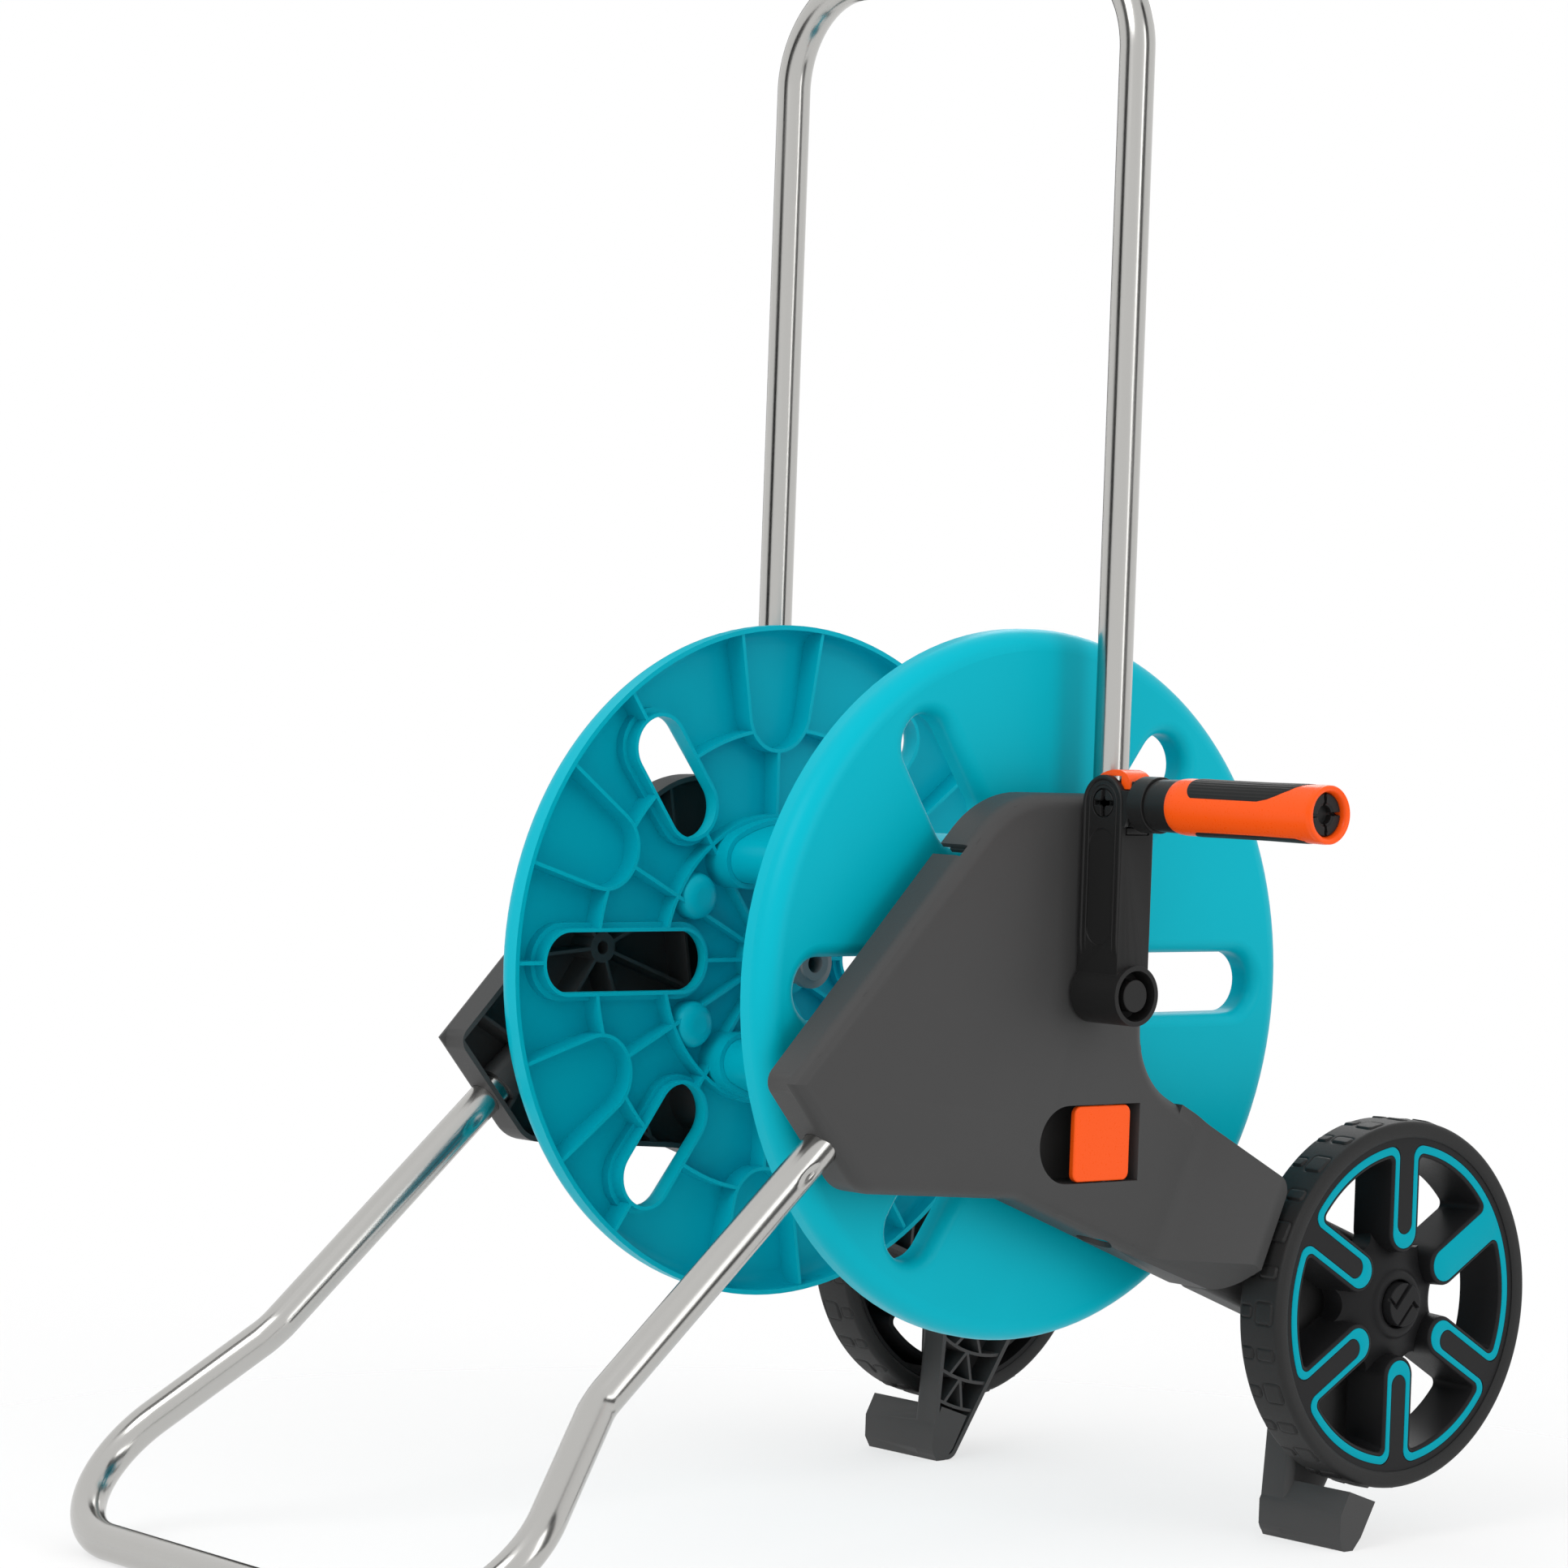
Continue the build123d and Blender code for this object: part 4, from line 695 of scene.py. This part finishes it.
# ---------------------------------------------------------------- crank
arm_half = 12.0
arm_body = body_of_node["crank_arm"]


def doorway(half, foot):
    """A line up one side of the arm, over a half circle about the hinge and down the other side: x and z."""
    turn = np.linspace(np.pi, 0, 33)
    rise = np.linspace(foot, 0, 30)[:-1]
    fall = np.linspace(0, foot, 30)[1:]
    across = np.concatenate([np.full(len(rise), -half), half * np.cos(turn), np.full(len(fall), half)])
    return across, np.concatenate([rise, half * np.sin(turn), fall])


def bead(line, outward, width, height):
    """A raised rib with a rounded top along a flat line: its section is a half ellipse of a given width and
    height, and over the first and last 24th of the line it rises from the face."""
    seat = 0.4
    outward = np.array(outward, float)
    aside = np.cross(outward, directions(line))
    angle = np.linspace(0, np.pi, 11)
    share = np.linspace(0, 1, len(line))
    ends = ease(share * 24) * ease((1 - share) * 24)
    across = np.cos(angle)[None, :, None] * aside[:, None, :] * width / 2
    up = np.sin(angle)[None, :, None] * outward[None, None, :] * height * ends[:, None, None]
    top = line[:, None, :] + across + up
    foot = top[:, [-1, 0]] - outward * seat
    grid = np.concatenate([top, foot], axis=1)
    rows, columns = grid.shape[:2]
    ring = np.arange(columns)
    caps = [ring.tolist(), (columns * (rows - 1) + ring[::-1]).tolist()]
    return grid, grid_faces(rows, columns, False, True).tolist() + caps


def extruded(outline, ends):
    """A flat outline of (x, z) about the hinge, carried straight in y between two distances and closed."""
    count = len(outline)
    across, above = np.transpose(outline)
    caps = [list(range(count)), list(range(2 * count - 1, count - 1, -1))]
    points = beside_arm(1, np.array(ends, float)[:, None], across, above)
    return points, grid_faces(2, count, False, True).tolist() + caps


def pin_height(across, above):
    """Four petals parted by a cross-shaped slot and a centre hole, each petal domed."""
    slot_half, hole_radius, slot_depth, dome_height, dome_radius = 1.35, 2.6, 1.9, 0.5, 8.0
    reach = np.hypot(across, above)
    from_slot = np.minimum(np.abs(across), np.abs(above)) - slot_half
    from_edge = np.minimum(from_slot, reach - hole_radius)
    dome = dome_height * (1 - (reach / dome_radius) ** 2)
    return dome - slot_depth * ease((0.25 - from_edge) / 0.5)


def flat(across, above):
    """A flat face."""
    return np.zeros_like(across)


# of each raised line on the arm's faces: half its span and where its sides end, then its width and height
arm_lines = {"border": (13.9, -86, 2.7, 1.0), "panel_line": (10.4, -84, 1.2, 0.45)}
for label, hand in arm_faces:
    for name, (half, foot, width, height) in arm_lines.items():
        line = beside_arm(hand, arm_half - 0.05, *doorway(half, foot))
        points, faces = bead(line, (0, hand, 0), width, height)
        piece_from(f"crank_{name}_{label}", points, faces, (), black_nylon, arm_body)

for label, hand in arm_faces:
    (up, across, above), faces = height_disc(7.6, pin_height, 40, 120, 1.3, 0.5)
    points = beside_arm(hand, arm_half - 0.2 + up, across, above)
    piece_from("pin_head_" + label, points, faces, ("hinge_pin",), black_nylon)

(up, across, above), faces = height_disc(3.9, flat, 4, 48, 21.0, 0.3)
points = beside_arm(1, arm_half - 1.5 + up, across, above)
piece_from("pin_shaft", points, faces, ("hinge_pin",), black_nylon)

# the fork's floor, close under the neck
floor_outline = [(-9.0, -16.6), (15.2, -16.6), (15.2, -13.3), (14.7, -12.8), (-9.0, -12.8)]
piece_from("fork_floor", *extruded(floor_outline, (-7.9, 7.9)), (), black_nylon, arm_body)

# the button's hood: a low dome over the hinge, whose outer end turns down beside it
hood_outline = [
    (-6.5, 15.5), (-5.2, 16.2), (-3.4, 16.9), (-1.2, 17.6), (1.4, 18.2), (4.2, 18.6), (7.0, 18.6),
    (9.6, 18.2), (12.0, 17.3), (14.2, 15.9), (15.9, 14.1), (17.0, 12.0), (17.5, 10.0), (17.6, 8.0),
    (9.9, 8.0), (9.9, 15.1), (-6.5, 15.1)]
hood_ends = [corner[1] - hinge[1] for corner in node_box("release_button")]
button = piece_from("button_hood", *extruded(hood_outline, hood_ends), ("release_button",), orange_abs)
rounded(button, 0.5, 3, 40.0)


# ---------------------------------------------------------------- grip
sleeve_low, sleeve_high = node_box("grip_sleeve")
grip_axis = (sleeve_low + sleeve_high) / 2
grip_start, grip_length = sleeve_low[0] - reel[0], sleeve_high[0] - sleeve_low[0]
grip_end = grip_start + grip_length
grip_turn = radians(19.0)
# the sleeve's radius at shares of its length: a gentle waist, fuller behind the collar and at its outer end
waist = ((0, 14.6), (0.02, 15.2), (0.06, 15.5), (0.3, 15.3), (0.6, 15.25),
         (0.9, 15.6), (0.97, 15.75), (1.0, 15.3))


def grip_radius(share):
    """The sleeve's radius at a share of its length, straight between the waist's points."""
    return np.interp(share, *np.transpose(waist))


def grip_shell():
    """The sleeve, revolved: its waisted outside, then its mouth, turned in to a bore at the outer end."""
    share = np.concatenate([np.linspace(0, 0.08, 10), np.linspace(0.1, 0.9, 40), np.linspace(0.92, 1.0, 14)])
    outside = list(zip(grip_radius(share), grip_start + share * grip_length))[:-1]
    turned_in = [(15.55, -0.6), (15.0, 0.0), (14.2, 0.0), (13.2, -0.3), (12.4, -1.2), (11.9, -3.0),
                 (11.6, -8.0), (13.1, -8.2)]
    mouth = [(radius, grip_end + back) for radius, back in turned_in]
    return revolved(outside + mouth + [(13.1, grip_start)], 160, 1, grip_axis)


def grip_pad(turn):
    """A soft pad on the sleeve, a patch of angle and length: its inner end is round, its outer end runs off
    on a slant, its rim dips into the sleeve and fine ribs run along it."""
    half, skin, under_skin, rib_pitch = radians(53.0), 15.4, 13.4, 2.3
    # where the slanting end lies, from one side of the pad to the other
    slant = ((-1, 90.0), (-0.8, 96.5), (-0.25, 95.5), (0.4, 87.5), (0.68, 81.0), (0.85, 75.5), (1.0, 66.0))
    side = np.linspace(-1, 1, 141)
    run = np.linspace(0, 1, 100)
    inner_end = 12.0 + 9.0 * (1 - np.sqrt(np.maximum(1 - side**2, 0)))
    outer_end = np.interp(side, *np.transpose(slant))
    length = (outer_end - inner_end)[:, None]
    along = inner_end[:, None] + length * run[None, :]
    angle = np.broadcast_to(side[:, None] * half, along.shape)
    from_ends = np.minimum(run, 1 - run)[None, :] * length
    from_sides = (1 - np.abs(side))[:, None] * half * skin
    from_rim = np.minimum(from_ends, from_sides)
    ribs = 0.5 + 0.5 * np.cos(angle * skin * circle / rib_pitch)
    height = -0.5 + 0.68 * ease(from_rim / 0.9) + 0.16 * ribs * ease((from_rim - 1.8) / 1.2)
    facing = np.pi / 2 + turn + angle
    layers = []
    for radius in (grip_radius(along / grip_length) + height, np.full(along.shape, under_skin)):
        layer = about(grip_axis, 1, grip_start + along, radius * np.cos(facing), radius * np.sin(facing))
        layers.append(layer.reshape(-1, 3))
    top = grid_faces(*along.shape)
    index = np.arange(along.size).reshape(along.shape)
    ring = np.concatenate([index[:, 0], index[-1, 1:], index[-2::-1, -1], index[0, -2:0:-1]])
    after = np.roll(ring, -1)
    wall = np.stack([ring, after, after + along.size, ring + along.size], -1)
    return np.concatenate(layers), np.concatenate([top, top[:, ::-1] + along.size, wall])


def clip_height(across, above):
    """The snap ring's end: four fingers round a hole, parted by narrow slots, with a bevel round the hole."""
    hole_depth, bevel_depth, slot_depth = 7.0, 0.9, 4.0
    reach = np.hypot(across, above)
    hole, bevel = ease((5.0 - reach) / 0.5), ease((6.6 - reach) / 1.2)
    slot = ease((0.95 - np.minimum(np.abs(across), np.abs(above))) / 0.35)
    return -hole_depth * hole - bevel_depth * bevel - slot_depth * slot


def snap_ring():
    """The ring that closes the grip's outer end, turned a little about the grip."""
    lean = radians(4.0)
    seat = node_box("grip_clip")[1][0] - 0.4 - reel[0]
    (up, across, above), faces = height_disc(11.3, clip_height, 60, 144, 8.0, 0.6)
    points = about(grip_axis, 1, seat + up, across * np.cos(lean) - above * np.sin(lean),
                   across * np.sin(lean) + above * np.cos(lean))
    return points, faces


piece_from("grip_shell", *grip_shell(), ("grip_sleeve",), orange_abs)
piece_from("grip_pad_upper", *grip_pad(grip_turn), ("grip_pads",), seal_rubber)
piece_from("grip_pad_lower", *grip_pad(grip_turn + np.pi), ("grip_pads",), seal_rubber)
piece_from("grip_snap_ring", *snap_ring(), ("grip_clip",), black_nylon)

# ---------------------------------------------------------------- rounded edges of the other mouldings
softened("crank_arm", black_nylon, 0.8)
softened("crank_neck", black_nylon, 0.7)
softened("latch_right", orange_abs, 0.7, taller=1.07)
softened("latch_left", orange_abs, 0.7, taller=1.07)
softened("crank_cap", black_nylon, 0.7)
softened("inlet_elbow", grey_acetal, 0.6)
softened("side_panel_right", panel_polypropylene, 1.0, nose_mm=8.0)
softened("side_panel_left", panel_polypropylene, 1.0, nose_mm=8.0)

# ---------------------------------------------------------------- floor, room and lamps, in metres
middle = (Vector(cad_box[0]) + Vector(cad_box[1])) / 2


def studio_floor():
    """A pale disc under the object, 4 m in radius, as a fan of rings; its edge fades into the white room."""
    turns, below = 96, 0.0003
    rings = np.array([0.6, 1.2, 2.0, 3.0, 4.0])
    angle = all_round(turns)
    around = np.stack([np.outer(rings, np.cos(angle)), np.outer(rings, np.sin(angle))], -1)
    places = np.vstack([[[0, 0]], around.reshape(-1, 2)])
    points = np.column_stack([places, np.full(len(places), -below)])
    ring = np.arange(turns)
    fan = np.column_stack([np.zeros(turns, int), ring + 1, (ring + 1) % turns + 1])
    bands = grid_faces(len(rings), turns, False, True) + 1
    mesh = mesh_of("studio_floor", points, fan.tolist() + bands.tolist())
    disc = bpy.data.objects.new("studio_floor", mesh)
    bpy.context.collection.objects.link(disc)
    material, output = start("floor_paper")
    place = add(material, "ShaderNodeTexCoord").outputs["Object"]
    reach = add(material, "ShaderNodeVectorMath", {"operation": "LENGTH"}, {0: place})
    edge = add(material, "ShaderNodeMapRange", {"interpolation_type": "SMOOTHSTEP"}, {
        "Value": reach.outputs["Value"], "From Min": 0.35, "From Max": 1.5, "To Min": 0.66, "To Max": 1.0})
    paper = add(material, "ShaderNodeBsdfDiffuse", {}, {"Color": linear("#F4F4F4"), "Roughness": 0.5})
    clear = add(material, "ShaderNodeBsdfTransparent")
    fade = add(material, "ShaderNodeMixShader", {}, {
        0: edge.outputs["Result"], 1: paper.outputs["BSDF"], 2: clear.outputs["BSDF"]})
    material.node_tree.links.new(fade.outputs["Shader"], output.inputs["Surface"])
    mesh.materials.append(material)
    return disc


studio_floor()


def studio_flag(name, bearing, distance, width, lowest, highest):
    """A black card that stands beside the set, out of sight: a tall strip that faces the middle and that only
    reflections show, as a darker streak. p = d (cos b, sin b) + s (-sin b, cos b), s across the card."""
    turn = radians(bearing)
    card_middle = np.array([np.cos(turn), np.sin(turn)]) * distance
    aside = np.array([-np.sin(turn), np.cos(turn)]) * width / 2
    near, far = card_middle - aside, card_middle + aside
    points = np.array([(*near, lowest), (*far, lowest), (*far, highest), (*near, highest)])
    mesh = mesh_of(name, points, [(0, 1, 2, 3)])
    card = bpy.data.objects.new(name, mesh)
    bpy.context.collection.objects.link(card)
    card.visible_camera = card.visible_diffuse = card.visible_shadow = card.visible_transmission = False
    material, output = start(name + "_felt")
    felt = add(material, "ShaderNodeBsdfDiffuse", {}, {"Color": linear("#1C1C1C"), "Roughness": 1.0})
    material.node_tree.links.new(felt.outputs["BSDF"], output.inputs["Surface"])
    mesh.materials.append(material)
    return card


studio_flag("right_flag", 24.0, 1.7, 0.7, 0.0, 2.6)
studio_flag("left_flag", -108.0, 1.7, 0.8, 0.0, 2.6)
studio_flag("rear_flag", 150.0, 2.0, 0.8, 0.0, 2.6)

# the room is plain white where it is seen directly, through something or in a reflection, else a soft light
room = bpy.data.worlds.new("studio_room")
bpy.context.scene.world = room
room.use_nodes = True
room.node_tree.nodes.clear()
ray = add(room, "ShaderNodeLightPath")
through = add(room, "ShaderNodeMath", {"operation": "MAXIMUM"}, {
    0: ray.outputs["Is Camera Ray"], 1: ray.outputs["Is Transmission Ray"]})
seen = add(room, "ShaderNodeMath", {"operation": "MAXIMUM"}, {
    0: through.outputs[0], 1: ray.outputs["Is Glossy Ray"]})
white = add(room, "ShaderNodeBackground", {}, {"Color": linear("#FFFFFF"), "Strength": 1.0})
soft = add(room, "ShaderNodeBackground", {}, {"Color": linear("#F8F8F8"), "Strength": 0.9})
choose = add(room, "ShaderNodeMixShader", {}, {0: seen.outputs[0], 1: soft.outputs[0], 2: white.outputs[0]})
shell = add(room, "ShaderNodeOutputWorld")
room.node_tree.links.new(choose.outputs[0], shell.inputs["Surface"])


def softbox(name, place, size, watts):
    """An oblong area lamp that looks from a place at the object's middle."""
    lamp = bpy.data.lights.new(name, "AREA")
    lamp.shape = "RECTANGLE"
    lamp.size, lamp.size_y = size
    lamp.energy = watts
    carrier = bpy.data.objects.new(name, lamp)
    bpy.context.collection.objects.link(carrier)
    carrier.location = place
    carrier.rotation_euler = (middle - Vector(place)).to_track_quat("-Z", "Y").to_euler()
    return carrier


softbox("key_softbox", (0.4, -2.4, 2.3), (1.6, 1.2), 28)
softbox("side_softbox", (2.6, 0.6, 1.2), (0.9, 1.8), 12)
softbox("back_softbox", (-1.6, 1.8, 1.9), (1.4, 1.2), 14)

# ---------------------------------------------------------------- camera
# where it stands, and which ways its picture's right and top and its own back point
eye_place = (1.87689, -1.69270, 0.47408)
eye_right = (0.649382, 0.759637, 0.035425)
eye_top = (-0.036525, -0.015373, 0.999214)
eye_back = (0.759585, -0.650165, 0.017763)
eye = bpy.data.cameras.new("camera")
eye.sensor_width = 36.0
eye.lens = 103.53
camera = bpy.data.objects.new("camera", eye)
bpy.context.collection.objects.link(camera)
eye_turn = Matrix((eye_right, eye_top, eye_back)).transposed().to_4x4()
camera.matrix_world = Matrix.Translation(eye_place) @ eye_turn
bpy.context.scene.camera = camera
bpy.context.scene.view_settings.view_transform = "Standard"
